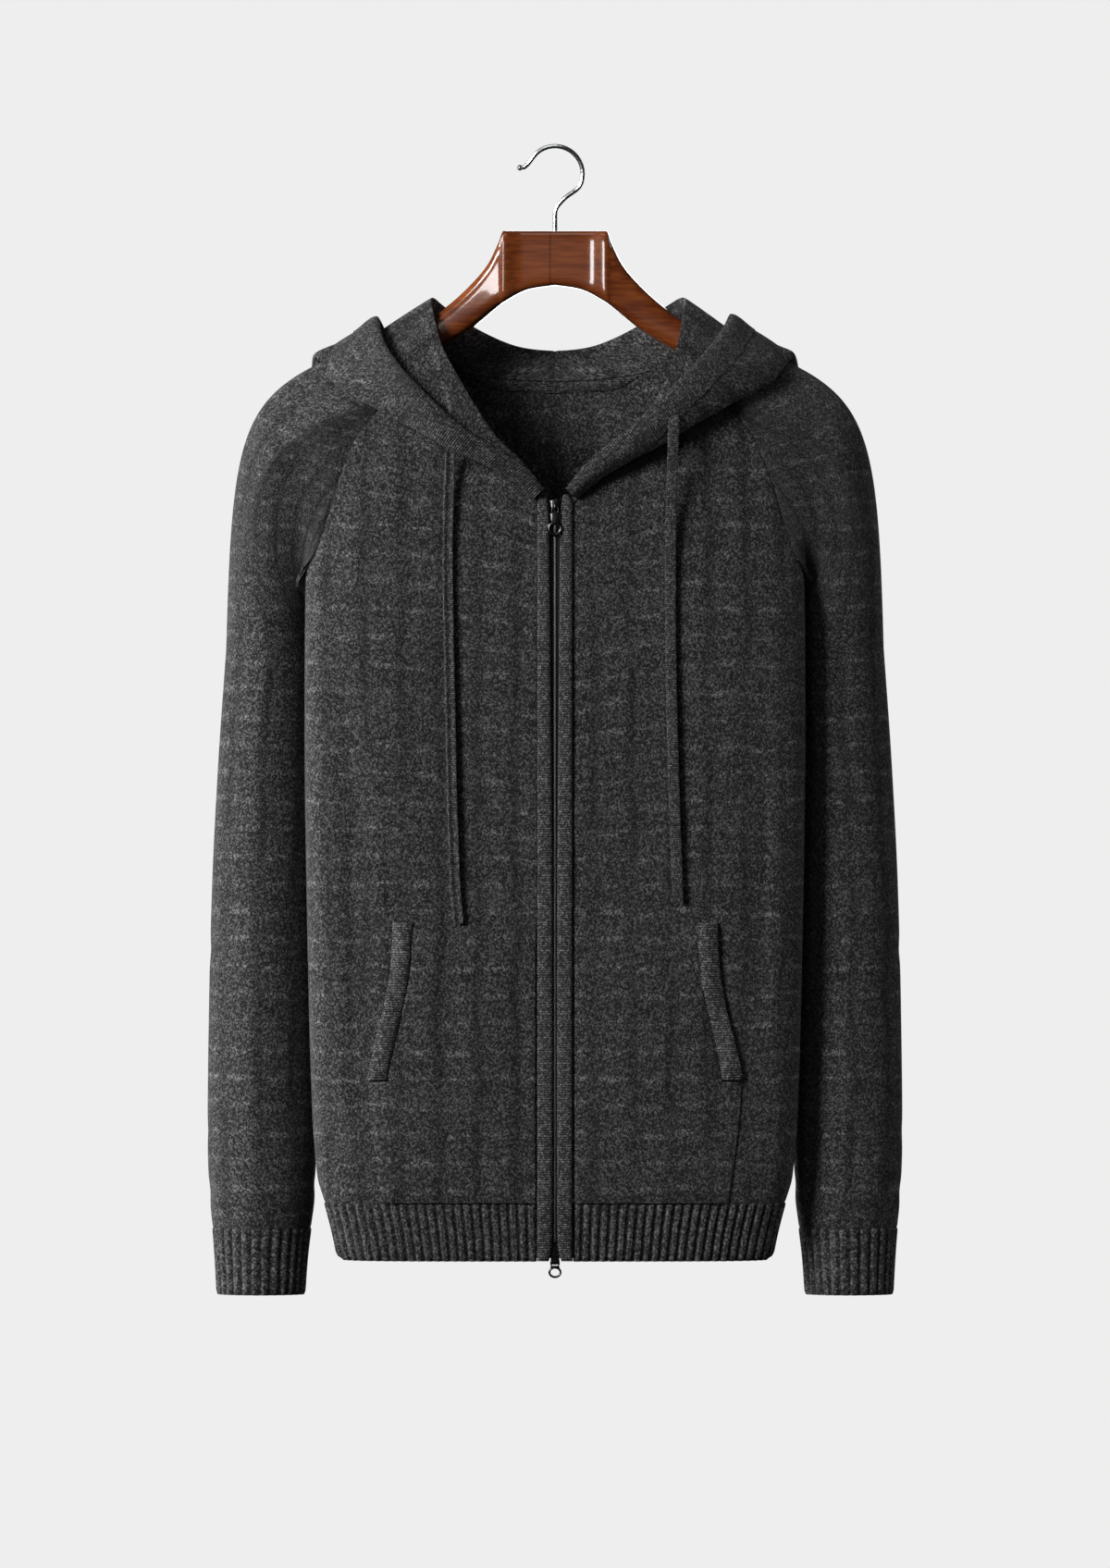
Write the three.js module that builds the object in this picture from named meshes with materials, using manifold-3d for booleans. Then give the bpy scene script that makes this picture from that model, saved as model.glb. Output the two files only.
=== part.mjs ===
// Zip up hoodie in charcoal knit, hanging on a wide wooden hanger.
// Millimetres, +Z up, the front faces -Y, +X is the wearer's left.
// The origin is the point inside the hook's crown that rests on a rail.
import * as THREE from "three";
import { mergeVertices } from "three/addons/utils/BufferGeometryUtils.js";
import Module from "manifold-3d";

const wasm = await Module();
wasm.setup();

// Driving dimensions
const CLOTH = 2.4; // knit wall
const SEAM_GAP = 0.3; // between pieces that are sewn together
const HEM_BOTTOM = -904;
const HEM_TOP = -857;
const CUFF_BOTTOM = -933;
const CUFF_TOP = -879;
const SLEEVE_BEND = -406; // the sleeve hangs as a plain tube below this height
const UNDERARM = -352;
const ZIP_TOP = -287;
const PLACKET_OUTER = 14.4; // from the centre line to the placket's sewn edge
const PANEL_EDGE = 14.8; // from the centre line to the front panel's edge
const RIB_PITCH = 7.2;
const RIB_HEIGHT = 1.1;
const BAND_WIDTH = 22;
const BAND_THICKNESS = 1.7;
const POCKET_TOP = -632;
const POCKET_OPENING_LOW = -757;
const WELT_WIDTH = 16;
const SIDE_Y = -6; // depth of the torso's widest line
const SIDE_SEAM_ANGLE = 1.62; // a little behind the widest line, in radians from the front
const SEAM_STEPS = 10; // along each raglan seam
const NECK_STEPS = 5; // of the sleeve's rim along the neck
const HALF_PI = Math.PI / 2;

// Tables: the first row names the columns.
function table(columns, rows) {
  return rows.map((row) => Object.fromEntries(columns.map((name, i) => [name, row[i]])));
}

const TORSO = table(
  ["z", "halfWidth", "front", "back"],
  [
    [-904, 176, 34, 34],
    [-880, 181, 39, 39],
    [-857, 187, 44, 43],
    [-836, 193, 46, 46],
    [-780, 197.5, 47, 48],
    [-630, 201.5, 48, 50],
    [-480, 203.5, 47, 51],
    [-352, 203, 46, 51],
    [-306, 199, 45, 50],
    [-256, 189, 43, 48],
    [-215, 173, 39, 44],
    [-177, 150, 34, 40],
    [-140, 130, 26, 34],
  ],
);

const RAGLAN_FRONT = table(
  ["z", "x"],
  [
    [-333, 195],
    [-306, 186],
    [-279, 178],
    [-256, 170],
    [-234, 160],
    [-215, 144],
    [-199, 121],
  ],
);

const RAGLAN_BACK = table(
  ["z", "x"],
  [
    [-330, 195],
    [-300, 185],
    [-265, 171],
    [-230, 153],
    [-200, 124],
    [-177, 88],
  ],
);

// The neck seam from the zip, over the shoulder, to the centre back. Where onBody is 1, y comes from the torso.
const NECK = table(
  ["x", "y", "z", "onBody", "lean"],
  [
    [14.8, 0, -291, 1, 0],
    [38, 0, -266, 1, 0],
    [60, 0, -252, 1, 0],
    [85, 0, -237, 1, 0],
    [106, 0, -219, 1, 0],
    [121, 0, -199, 1, 0.15],
    [129, -18, -171, 0, 0.45],
    [127, 0, -148, 0, 0.6],
    [114, 18, -160, 0, 0.45],
    [88, 0, -177, 1, 0.15],
    [45, 0, -186, 1, 0],
    [0, 0, -189, 1, 0],
  ],
);
const NECK_FRONT_JOIN = 5; // rows of NECK where the raglan seams arrive
const NECK_BACK_JOIN = 9;

// The hood lies down: its cloth rises to a fold, drops to the pouch's bottom, and rises again to its free edge.
const HOOD_DEPTH = table(
  ["foldY", "lowY", "edgeY", "thickness"],
  [
    [-50.8, -53, -55.5, 0.9],
    [-51, -55.5, -59, 1.3],
    [-51.5, -58, -62, 1.8],
    [-50, -58, -62.5, 2.2],
    [-45, -54, -59, 2.4],
    [-34, -43, -50, 2.4],
    [-18, -27, -32, 2.4],
    [0, -4, -4, 2.4],
    [24, 40, 44, 2.4],
    [36, 58, 68, 2.4],
    [43, 64, 80, 2.4],
    [46, 66, 84, 2.4],
  ],
);
const HOOD_COLUMNS = ["foldX", "foldZ", "lowX", "lowZ", "edgeX", "edgeZ"];
const HOOD_FRONT = {
  left: table(HOOD_COLUMNS, [
    [13, -281, 17.5, -287, 9, -279],
    [28, -256, 36, -271, 22, -262],
    [50, -238, 60, -256, 47, -241],
    [75, -216, 86, -242, 72, -219],
    [91, -190, 112, -226, 96, -195],
    [99, -164, 145, -207, 119, -170],
    [104, -140, 175, -190, 135, -149],
    [105, -123, 189, -176, 141, -137],
  ]),
  right: table(HOOD_COLUMNS, [
    [13, -281, 17.5, -287, 9, -279],
    [27, -257, 35, -271, 22, -263],
    [45, -240, 60, -257, 49, -246],
    [62, -217, 86, -245, 75, -229],
    [78, -190, 112, -230, 99, -207],
    [91, -165, 145, -212, 121, -184],
    [98, -140, 176, -193, 137, -161],
    [100, -123, 189, -177, 143, -139],
  ]),
};
const HOOD_BACK = table(HOOD_COLUMNS, [
  [88, -130, 186, -246, 131, -158],
  [66, -145, 150, -330, 92, -192],
  [33, -160, 86, -388, 46, -214],
  [0, -166, 0, -408, 0, -222],
]);

const SLEEVE = table(
  ["z", "outer", "inner", "centreY", "halfDepth"],
  [
    [-933, 275.5, 204, 20, 27],
    [-905, 277, 202, 20, 28.5],
    [-879, 279, 199, 21, 31],
    [-850, 282, 195.5, 23, 36],
    [-800, 283.5, 194, 27, 39],
    [-700, 282.5, 194, 31, 41],
    [-600, 280, 194.5, 33, 42],
    [-500, 275, 195, 34, 42],
    [-406, 268.5, 196, 35, 41],
  ],
);

// Long soft folds of the body: angle from the centre front, height range, half width (radians), depth, drift of the angle.
const BODY_FOLDS = table(
  ["angle", "top", "bottom", "width", "depth", "drift"],
  [
    [1.0, -380, -800, 0.13, 2.6, -0.1],
    [0.42, -340, -620, 0.12, 1.8, 0.05],
    [-1.0, -360, -800, 0.13, 3.0, 0.12],
    [-0.4, -340, -630, 0.12, 1.6, -0.05],
    [2.1, -380, -840, 0.16, 3.0, 0.1],
    [2.7, -430, -800, 0.16, 2.4, 0.1],
    [-2.3, -360, -800, 0.16, 3.0, -0.12],
    [-2.85, -520, -850, 0.16, 2.2, 0.08],
  ],
);

// Half the gap between the two plackets, which spread round the slider.
const ZIP_GAP = table(
  ["z", "half"],
  [
    [-904, 3.0],
    [-890, 1.6],
    [-860, 0.8],
    [-620, 0.8],
    [-500, 1.5],
    [-400, 3.0],
    [-330, 4.2],
    [-306, 5.4],
    [-287, 6.2],
  ],
);

// The pocket's outer side: the welt's outer edge above, the sewn side below.
const POCKET_SIDE = table(
  ["z", "x"],
  [
    [-857, 140],
    [-830, 144],
    [-790, 149],
    [-757, 151],
    [-730, 146],
    [-700, 139],
    [-665, 133],
    [-632, 131],
  ],
);

const HANGER = table(
  ["x", "top", "bottom", "halfDepth", "round"],
  [
    [0, -67.5, -111.5, 11, 7],
    [20, -67.5, -114.5, 11, 7],
    [42, -67.5, -125.5, 11, 7],
    [46, -77, -128.5, 10.5, 5],
    [55, -95, -136, 10.5, 4],
    [68, -110.5, -146.5, 10.5, 3.4],
    [84, -125.5, -157, 10.5, 3],
    [102, -139, -167.5, 10.5, 2.6],
    [126, -155.2, -181, 10.5, 2.3],
    [155, -168.7, -193, 10.5, 2.2],
    [185, -183.5, -204, 10, 2.2],
    [203, -194.5, -211, 9, 2.2],
    [212, -201.5, -212, 6.5, 2.2],
  ],
);
const HANGER_END = 216;

const HOOK_WIRE = 1.8; // radius
const HOOK_RADIUS = 22.5; // of the crook's centre line
const HOOK_STEM_BOTTOM = -67.2;

// Reads a column of a table at a key, with smooth tangents between the rows.
function read(rows, key, name, at) {
  const sign = rows[rows.length - 1][key] > rows[0][key] ? 1 : -1;
  const value = THREE.MathUtils.clamp(
    at * sign,
    rows[0][key] * sign,
    rows[rows.length - 1][key] * sign,
  );
  let i = 0;
  while (i < rows.length - 2 && rows[i + 1][key] * sign < value) i++;
  const slope = (a, b) => (rows[b][name] - rows[a][name]) / ((rows[b][key] - rows[a][key]) * sign);
  const span = (rows[i + 1][key] - rows[i][key]) * sign;
  const t = (value - rows[i][key] * sign) / span;
  const middle = slope(i, i + 1);
  const before = i > 0 ? limited(slope(i - 1, i), middle) : middle;
  const after = i < rows.length - 2 ? limited(slope(i + 1, i + 2), middle) : middle;
  return hermite(rows[i][name], rows[i + 1][name], before * span, after * span, t);
}

// The tangent between two slopes, flat where they change sign, so that nothing overshoots.
function limited(a, b) {
  return a * b <= 0 ? 0 : (2 * a * b) / (a + b);
}

function hermite(a, b, da, db, t) {
  const t2 = t * t;
  const t3 = t2 * t;
  return (2 * t3 - 3 * t2 + 1) * a + (t3 - 2 * t2 + t) * da + (3 * t2 - 2 * t3) * b + (t3 - t2) * db;
}

function lerp(a, b, t) {
  return a + (b - a) * t;
}

function smooth(low, high, value) {
  return THREE.MathUtils.smoothstep(value, low, high);
}

// Depth of the body's long folds at an angle and height.
function foldDepth(angle, z) {
  let depth = 0;
  for (const fold of BODY_FOLDS) {
    const along = (fold.top - z) / (fold.top - fold.bottom);
    if (along <= 0 || along >= 1) continue;
    const centre = fold.angle + fold.drift * along;
    const across = (angle - centre) / fold.width;
    depth += fold.depth * Math.sin(Math.PI * along) * Math.exp(-across * across);
  }
  return depth;
}

// The torso's outer surface. The angle is 0 at the centre front, a quarter turn at the wearer's left side.
function torso(angle, z) {
  const halfWidth = read(TORSO, "z", "halfWidth", z);
  const isFront = Math.cos(angle) >= 0;
  const power = isFront ? 2.8 : 1.9;
  const reach = isFront ? -read(TORSO, "z", "front", z) : read(TORSO, "z", "back", z);
  const share = Math.pow(Math.max(0, 1 - Math.pow(Math.abs(Math.sin(angle)), power)), 1 / power);
  const turned = angle > Math.PI ? angle - 2 * Math.PI : angle;
  const dent = foldDepth(turned, z) * Math.sign(reach) * Math.min(1, share * 1.5);
  return new THREE.Vector3(halfWidth * Math.sin(angle), SIDE_Y + reach * share - dent, z);
}

function torsoNormal(angle, z) {
  const step = 0.02;
  const across = torso(angle + step, z).sub(torso(angle - step, z));
  const up = torso(angle, z + 2).sub(torso(angle, z - 2));
  return across.cross(up).normalize();
}

function frontAngle(x, z) {
  return Math.asin(Math.min(1, x / read(TORSO, "z", "halfWidth", z)));
}

// A point on the torso's front at x and z, moved out by a distance.
function onFront(x, z, out) {
  const angle = frontAngle(Math.abs(x), z) * (x < 0 ? -1 : 1);
  return torso(angle, z).addScaledVector(torsoNormal(angle, z), out);
}

// The neck seam. The place counts rows of NECK, from 0 at the zip to 11 at the centre back.
const NECK_POINTS = NECK.map((row, i) => {
  if (!row.onBody) return new THREE.Vector3(row.x, row.y, row.z);
  const angle = frontAngle(row.x, row.z);
  return torso(i <= NECK_FRONT_JOIN ? angle : Math.PI - angle, row.z);
});
const NECK_CURVE = new THREE.CatmullRomCurve3(NECK_POINTS);

function neckPoint(place) {
  return NECK_CURVE.getPoint(place / (NECK.length - 1));
}

function neckNormal(place) {
  const t = NECK_CURVE.getTangent(place / (NECK.length - 1));
  const outward = new THREE.Vector3(t.y, -t.x, 0).normalize();
  const row = Math.min(NECK.length - 2, Math.floor(place));
  const lean = lerp(NECK[row].lean, NECK[row + 1].lean, place - row);
  return outward.multiplyScalar(1 - lean).add(new THREE.Vector3(0, 0, lean)).normalize();
}

// Raglan seams, from the underarm up to the neck seam.
function raglanAngle(rows, isFront, z) {
  const lowest = rows[0].z;
  const side = SIDE_SEAM_ANGLE;
  const at = Math.max(z, lowest);
  const x = read(rows, "z", "x", at);
  const plain = frontAngle(x, at);
  const angle = isFront ? plain : Math.PI - plain;
  if (z >= lowest) return angle;
  return lerp(side, angle, (z - UNDERARM) / (lowest - UNDERARM));
}

function frontSeamAngle(z) {
  return z <= UNDERARM ? SIDE_SEAM_ANGLE : raglanAngle(RAGLAN_FRONT, true, z);
}

function backSeamAngle(z) {
  return z <= UNDERARM ? SIDE_SEAM_ANGLE : raglanAngle(RAGLAN_BACK, false, z);
}

// Blends four boundary curves of angle and height into a patch.
function coons(low, high, left, right) {
  return (u, v) => {
    const parts = ["angle", "z"].map((name) => {
      const sides = lerp(left(v)[name], right(v)[name], u);
      const ends = lerp(low(u)[name], high(u)[name], v);
      const corners = lerp(
        lerp(low(0)[name], low(1)[name], u),
        lerp(high(0)[name], high(1)[name], u),
        v,
      );
      return sides + ends - corners;
    });
    return { angle: parts[0], z: parts[1] };
  };
}

function grid(rows, columns, pointAt) {
  return Array.from({ length: rows + 1 }, (_, i) =>
    Array.from({ length: columns + 1 }, (_, j) => pointAt(j / columns, i / rows)),
  );
}

// Normals of a grid of points, out of the face that sees rows go up and columns go right.
function gridNormals(points, wrap) {
  const last = points[0].length - 1;
  return points.map((row, i) =>
    row.map((_, j) => {
      const up = points[Math.min(i + 1, points.length - 1)][j]
        .clone()
        .sub(points[Math.max(i - 1, 0)][j]);
      const right = wrap
        ? row[(j + 1) % row.length].clone().sub(row[(j + last) % row.length])
        : row[Math.min(j + 1, last)].clone().sub(row[Math.max(j - 1, 0)]);
      return right.cross(up).normalize();
    }),
  );
}

// A closed mesh from an outer and an inner grid. Their rows are as many, their columns needn't be.
function shell(outer, inner, wrap) {
  const positions = [];
  const triangles = [];
  const place = (points) =>
    points.map((row) =>
      row.map((p) => {
        positions.push(p.x, p.y, p.z);
        return positions.length / 3 - 1;
      }),
    );
  const quad = (a, b, c, d) => triangles.push(a, b, c, a, c, d);
  const face = (ids, flip) => {
    const columns = ids[0].length;
    for (let i = 0; i + 1 < ids.length; i++)
      for (let j = 0; j + (wrap ? 0 : 1) < columns; j++) {
        const k = (j + 1) % columns;
        const corners = [ids[i][j], ids[i][k], ids[i + 1][k], ids[i + 1][j]];
        if (flip) corners.reverse();
        quad(...corners);
      }
  };
  // Joins two lines of points by advancing along whichever lags behind.
  const zipper = (a, b, flip) => {
    const closeA = wrap ? [...a, a[0]] : a;
    const closeB = wrap ? [...b, b[0]] : b;
    let i = 0;
    let j = 0;
    while (i < closeA.length - 1 || j < closeB.length - 1) {
      const nextA = (i + 1) / (closeA.length - 1);
      const nextB = (j + 1) / (closeB.length - 1);
      const stepA = j >= closeB.length - 1 || (i < closeA.length - 1 && nextA <= nextB);
      const corners = stepA ? [closeA[i], closeB[j], closeA[i + 1]] : [closeA[i], closeB[j], closeB[j + 1]];
      if (flip) corners.reverse();
      triangles.push(...corners);
      if (stepA) i++;
      else j++;
    }
  };
  const out = place(outer);
  const ins = place(inner);
  face(out, false);
  face(ins, true);
  zipper(out[0], ins[0], false);
  zipper(out[out.length - 1], ins[ins.length - 1], true);
  if (!wrap) {
    const first = out.map((row) => row[0]);
    const last = out.map((row) => row[row.length - 1]);
    const innerFirst = ins.map((row) => row[0]);
    const innerLast = ins.map((row) => row[row.length - 1]);
    for (let i = 0; i + 1 < out.length; i++) {
      quad(first[i], first[i + 1], innerFirst[i + 1], innerFirst[i]);
      quad(last[i + 1], last[i], innerLast[i], innerLast[i + 1]);
    }
  }
  return closed(positions, triangles);
}

// Makes the geometry, with its faces turned outwards.
function closed(positions, triangles) {
  let volume = 0;
  const p = (i) => new THREE.Vector3().fromArray(positions, 3 * i);
  for (let i = 0; i < triangles.length; i += 3)
    volume += p(triangles[i]).dot(p(triangles[i + 1]).cross(p(triangles[i + 2])));
  if (volume < 0)
    for (let i = 0; i < triangles.length; i += 3)
      [triangles[i + 1], triangles[i + 2]] = [triangles[i + 2], triangles[i + 1]];
  const geometry = new THREE.BufferGeometry();
  geometry.setAttribute("position", new THREE.Float32BufferAttribute(positions, 3));
  geometry.setIndex(triangles);
  return geometry;
}

// A cloth wall inside a grid of outer points. Given normals replace the grid's own, where they are not null.
function clothWall(outer, { thickness = CLOTH, wrap = false, normals = null } = {}) {
  const own = gridNormals(outer, wrap);
  const inner = outer.map((row, i) =>
    row.map((p, j) => {
      const n = (normals && normals(i, j)) || own[i][j];
      const t = typeof thickness === "number" ? thickness : thickness(i, j);
      return p.clone().addScaledVector(n, -t);
    }),
  );
  return shell(outer, inner, wrap);
}

function mirrored(points) {
  return points.map((row) => row.map((p) => new THREE.Vector3(-p.x, p.y, p.z)));
}

// A solid swept through rings of points, with flat ends.
function sweep(rings) {
  const positions = [];
  const triangles = [];
  const n = rings[0].length;
  for (const ring of rings) for (const p of ring) positions.push(p.x, p.y, p.z);
  for (let i = 0; i + 1 < rings.length; i++)
    for (let j = 0; j < n; j++) {
      const a = i * n + j;
      const b = i * n + ((j + 1) % n);
      triangles.push(a, b, b + n, a, b + n, a + n);
    }
  const cap = (ring, start, flip) => {
    const normal = new THREE.Vector3();
    for (let j = 0; j < n; j++)
      normal.add(ring[j].clone().sub(ring[0]).cross(ring[(j + 1) % n].clone().sub(ring[0])));
    normal.normalize();
    const axis = Math.abs(normal.z) > 0.7 ? new THREE.Vector3(1, 0, 0) : new THREE.Vector3(0, 0, 1);
    const e1 = axis.clone().cross(normal).normalize();
    const e2 = normal.clone().cross(e1);
    const flat = ring.map((p) => new THREE.Vector2(p.dot(e1), p.dot(e2)));
    for (const [a, b, c] of THREE.ShapeUtils.triangulateShape(flat, []))
      triangles.push(...(flip ? [start + c, start + b, start + a] : [start + a, start + b, start + c]));
  };
  cap(rings[0], 0, true);
  cap(rings[rings.length - 1], (rings.length - 1) * n, false);
  return closed(positions, triangles);
}

// Front panel of the wearer's left (+X) side, as a patch of angle and height.
const frontPatch = coons(
  (u) => ({
    angle: lerp(frontAngle(PANEL_EDGE, HEM_TOP), SIDE_SEAM_ANGLE, u),
    z: HEM_TOP,
  }),
  (u) => {
    const p = neckPoint(u * NECK_FRONT_JOIN);
    return { angle: frontAngle(p.x, p.z), z: p.z };
  },
  (v) => {
    const z = lerp(HEM_TOP, NECK[0].z, v);
    return { angle: frontAngle(PANEL_EDGE, z), z };
  },
  (v) => {
    const z = lerp(HEM_TOP, NECK[NECK_FRONT_JOIN].z, v);
    return { angle: frontSeamAngle(z), z };
  },
);

const backPatch = coons(
  (u) => ({ angle: lerp(SIDE_SEAM_ANGLE, 2 * Math.PI - SIDE_SEAM_ANGLE, u), z: HEM_TOP }),
  (u) => {
    const side = u < 0.5 ? 1 : -1;
    const p = neckPoint(lerp(NECK_BACK_JOIN, NECK.length - 1, 1 - Math.abs(2 * u - 1)));
    return { angle: Math.PI - side * frontAngle(Math.max(0, p.x), p.z), z: p.z };
  },
  (v) => {
    const z = lerp(HEM_TOP, NECK[NECK_BACK_JOIN].z, v);
    return { angle: backSeamAngle(z), z };
  },
  (v) => {
    const z = lerp(HEM_TOP, NECK[NECK_BACK_JOIN].z, v);
    return { angle: 2 * Math.PI - backSeamAngle(z), z };
  },
);

// Keeps a grid half a seam gap short of the side, neck and hem edges it shares.
const inset = (value, count) => THREE.MathUtils.clamp(value, 0.35 / count, 1 - 0.35 / count);

// Levels of a panel from the hem to the underarm, then up its raglan seam, level with the sleeve's columns.
function panelLevels(top) {
  const underarm = (UNDERARM - HEM_TOP) / (top - HEM_TOP);
  const low = [0, 0.17, 0.35, 0.52, 0.68, 0.83];
  const high = Array.from({ length: SEAM_STEPS + 1 }, (_, i) => lerp(underarm, 1, i / SEAM_STEPS));
  return [...low.map((v) => v * underarm), ...high];
}

function panelWall(patch, levels, columns, width, height, mirror) {
  const flip = mirror ? -1 : 1;
  const place = (depth) =>
    levels.map((v) =>
      Array.from({ length: columns + 1 }, (_, j) => {
        const at = patch(inset(j / columns, width), inset(v, height));
        const angle = flip * at.angle;
        return torso(angle, at.z).addScaledVector(torsoNormal(angle, at.z), -depth);
      }),
    );
  return shell(place(0), place(CLOTH), false);
}

function frontPanel(mirror) {
  return panelWall(frontPatch, panelLevels(NECK[NECK_FRONT_JOIN].z), 12, 230, 640, mirror);
}

function backPanel() {
  return panelWall(backPatch, panelLevels(NECK[NECK_BACK_JOIN].z), 18, 460, 660, false);
}

// Raised ribs over a plain inside, on the torso from one angle to another, or round a sleeve.
function ribProfile(count) {
  const shares = [0.02, 0.24, 0.76];
  const heights = [0, 1, 1];
  const list = [];
  for (let k = 0; k < count; k++)
    shares.forEach((s, i) => list.push({ at: (k + s) / count, height: heights[i] }));
  return list;
}

function ribbed(pointAt, normalAt, length, levels, wrap) {
  const count = Math.round(length / RIB_PITCH);
  const profile = ribProfile(count);
  if (!wrap) profile.push({ at: 1, height: 0 });
  const outer = levels.map((v) =>
    profile.map(({ at, height }) => pointAt(at, v).addScaledVector(normalAt(at, v), height * RIB_HEIGHT)),
  );
  const plain = Math.max(8, Math.round(count / 2));
  const inner = levels.map((v) =>
    Array.from({ length: wrap ? plain : plain + 1 }, (_, j) => {
      const at = j / plain;
      return pointAt(at, v).addScaledVector(normalAt(at, v), 0.6 - CLOTH);
    }),
  );
  return shell(outer, inner, wrap);
}

// Angles spaced evenly along the torso's girth at the hem.
function evenAngles(from, to) {
  const steps = 240;
  const z = (HEM_TOP + HEM_BOTTOM) / 2;
  const marks = [{ at: 0, angle: from }];
  for (let i = 1; i <= steps; i++) {
    const a = lerp(from, to, (i - 1) / steps);
    const b = lerp(from, to, i / steps);
    marks.push({ at: marks[i - 1].at + torso(a, z).distanceTo(torso(b, z)), angle: b });
  }
  const total = marks[steps].at;
  const angleAt = (share) => {
    const i = Math.min(steps, 1 + marks.slice(1).findIndex((m) => m.at >= share * total - 1e-9));
    const t = (share * total - marks[i - 1].at) / (marks[i].at - marks[i - 1].at);
    return lerp(marks[i - 1].angle, marks[i].angle, t);
  };
  return { total, angleAt };
}

function hemRib(from, to) {
  const { total, angleAt } = evenAngles(from, to);
  const top = HEM_TOP - SEAM_GAP;
  const levels = [0, 0.1, 1];
  const zAt = (v) => lerp(HEM_BOTTOM, top, v);
  const tuck = (v) => (v === 0 ? -0.8 : 0);
  const edge = 0.25 / total;
  const share = (at) => lerp(edge, 1 - edge, at);
  return ribbed(
    (at, v) => {
      const angle = angleAt(share(at));
      return torso(angle, zAt(v)).addScaledVector(torsoNormal(angle, zAt(v)), tuck(v) - 0.6);
    },
    (at, v) => torsoNormal(angleAt(share(at)), zAt(v)),
    total,
    levels,
    false,
  );
}

// The sleeve as a hanging tube: share 0 is its inner line, 0.25 its front, 0.5 its outer line.
function sleeveRing(share, z) {
  const outer = read(SLEEVE, "z", "outer", z);
  const inner = read(SLEEVE, "z", "inner", z);
  const halfDepth = read(SLEEVE, "z", "halfDepth", z);
  const turn = 2 * Math.PI * share;
  const soften = 1 - 0.05 * Math.pow(Math.sin(2 * turn), 2);
  return new THREE.Vector3(
    (outer + inner) / 2 - ((outer - inner) / 2) * Math.cos(turn),
    read(SLEEVE, "z", "centreY", z) - halfDepth * Math.sin(turn) * soften,
    z,
  );
}

const SLEEVE_COLUMNS = 2 * SEAM_STEPS + NECK_STEPS;
const RIM_NECK_START = SEAM_STEPS / SLEEVE_COLUMNS;
const RIM_NECK_END = 1 - RIM_NECK_START;

// The sleeve's upper rim: up the front raglan seam, along the neck, down the back raglan seam.
function sleeveRim(share) {
  if (share > RIM_NECK_START && share < RIM_NECK_END) {
    const t = (share - RIM_NECK_START) / (RIM_NECK_END - RIM_NECK_START);
    const place = lerp(NECK_FRONT_JOIN, NECK_BACK_JOIN, t);
    return { point: neckPoint(place), normal: neckNormal(place), rise: 1 };
  }
  const isFront = share <= RIM_NECK_START;
  const climb = isFront ? share / RIM_NECK_START : (1 - share) / (1 - RIM_NECK_END);
  const top = NECK[isFront ? NECK_FRONT_JOIN : NECK_BACK_JOIN].z;
  const z = lerp(UNDERARM, top, climb);
  const angle = isFront ? frontSeamAngle(z) : backSeamAngle(z);
  return { point: torso(angle, z), normal: torsoNormal(angle, z), rise: climb };
}

function sleeveUpper(share, t) {
  const low = sleeveRing(share, SLEEVE_BEND);
  const { point, rise } = sleeveRim(share);
  const s = smooth(0, 1, rise);
  const span = point.distanceTo(low);
  const isFront = share <= 0.5;
  const sideways = new THREE.Vector3(isFront ? 0.85 : 0.6, isFront ? 0.1 : 0.6, -0.5);
  const leave = sideways.lerp(new THREE.Vector3(0.93, 0, -0.36), s).normalize();
  const lift = span * lerp(0.5, 0.7, s);
  const first = new THREE.Vector3(low.x - 0.03 * lift, lerp(low.y, point.y, 0.62 * s), low.z + lift);
  const second = point.clone().addScaledVector(leave, span * lerp(0.28, 0.46, s));
  const curve = new THREE.CubicBezierCurve3(low, first, second, point);
  return curve.getPoint(t);
}

function sleeveRows(columns) {
  const lowLevels = [CUFF_TOP + SEAM_GAP, -850, -800, -700, -600, -500];
  const highLevels = [0, 0.18, 0.36, 0.52, 0.66, 0.78, 0.88, 0.95, 1];
  const shares = Array.from({ length: columns }, (_, j) => j / columns);
  const rows = lowLevels.map((z) => shares.map((s) => sleeveRing(s, z)));
  for (const t of highLevels) rows.push(shares.map((s) => sleeveUpper(s, t)));
  return { rows, shares };
}

function sleeveWall(side) {
  const { rows, shares } = sleeveRows(SLEEVE_COLUMNS);
  const last = rows.length - 1;
  const own = gridNormals(rows, true);
  const rim = shares.map((s) => sleeveRim(s));
  // At the underarm the sleeve stands on the body, higher up it lies flush with the panels.
  const flush = rim.map((r) => smooth(0.04, 0.34, r.rise));
  const rimNormals = rim.map((r, j) => own[last][j].clone().lerp(r.normal, flush[j]).normalize());
  rows[last] = rows[last].map((p, j) => {
    const back = rows[last - 1][j].clone().sub(p).projectOnPlane(rim[j].normal).normalize();
    const away = rim[j].normal.clone().lerp(back, flush[j]).normalize();
    return p.clone().addScaledVector(away, lerp(1.2 * SEAM_GAP, SEAM_GAP, flush[j]));
  });
  const inner = rows.map((row, i) =>
    row.map((p, j) => p.clone().addScaledVector(i === last ? rimNormals[j] : own[i][j], -CLOTH)),
  );
  return side > 0 ? shell(rows, inner, true) : shell(mirrored(rows), mirrored(inner), true);
}

function cuff(side) {
  const levels = [0, 0.1, 1];
  const zAt = (v) => lerp(CUFF_BOTTOM, CUFF_TOP, v);
  const girth = 202;
  const pointAt = (share, v) => {
    const p = sleeveRing(share, zAt(v));
    const inward = v === 0 ? 1.2 : 0.5;
    return p.addScaledVector(ringNormal(share, zAt(v)), -inward).multiply(new THREE.Vector3(side, 1, 1));
  };
  const normalAt = (share, v) => ringNormal(share, zAt(v)).multiply(new THREE.Vector3(side, 1, 1));
  return ribbed(pointAt, normalAt, girth, levels, true);
}

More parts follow.
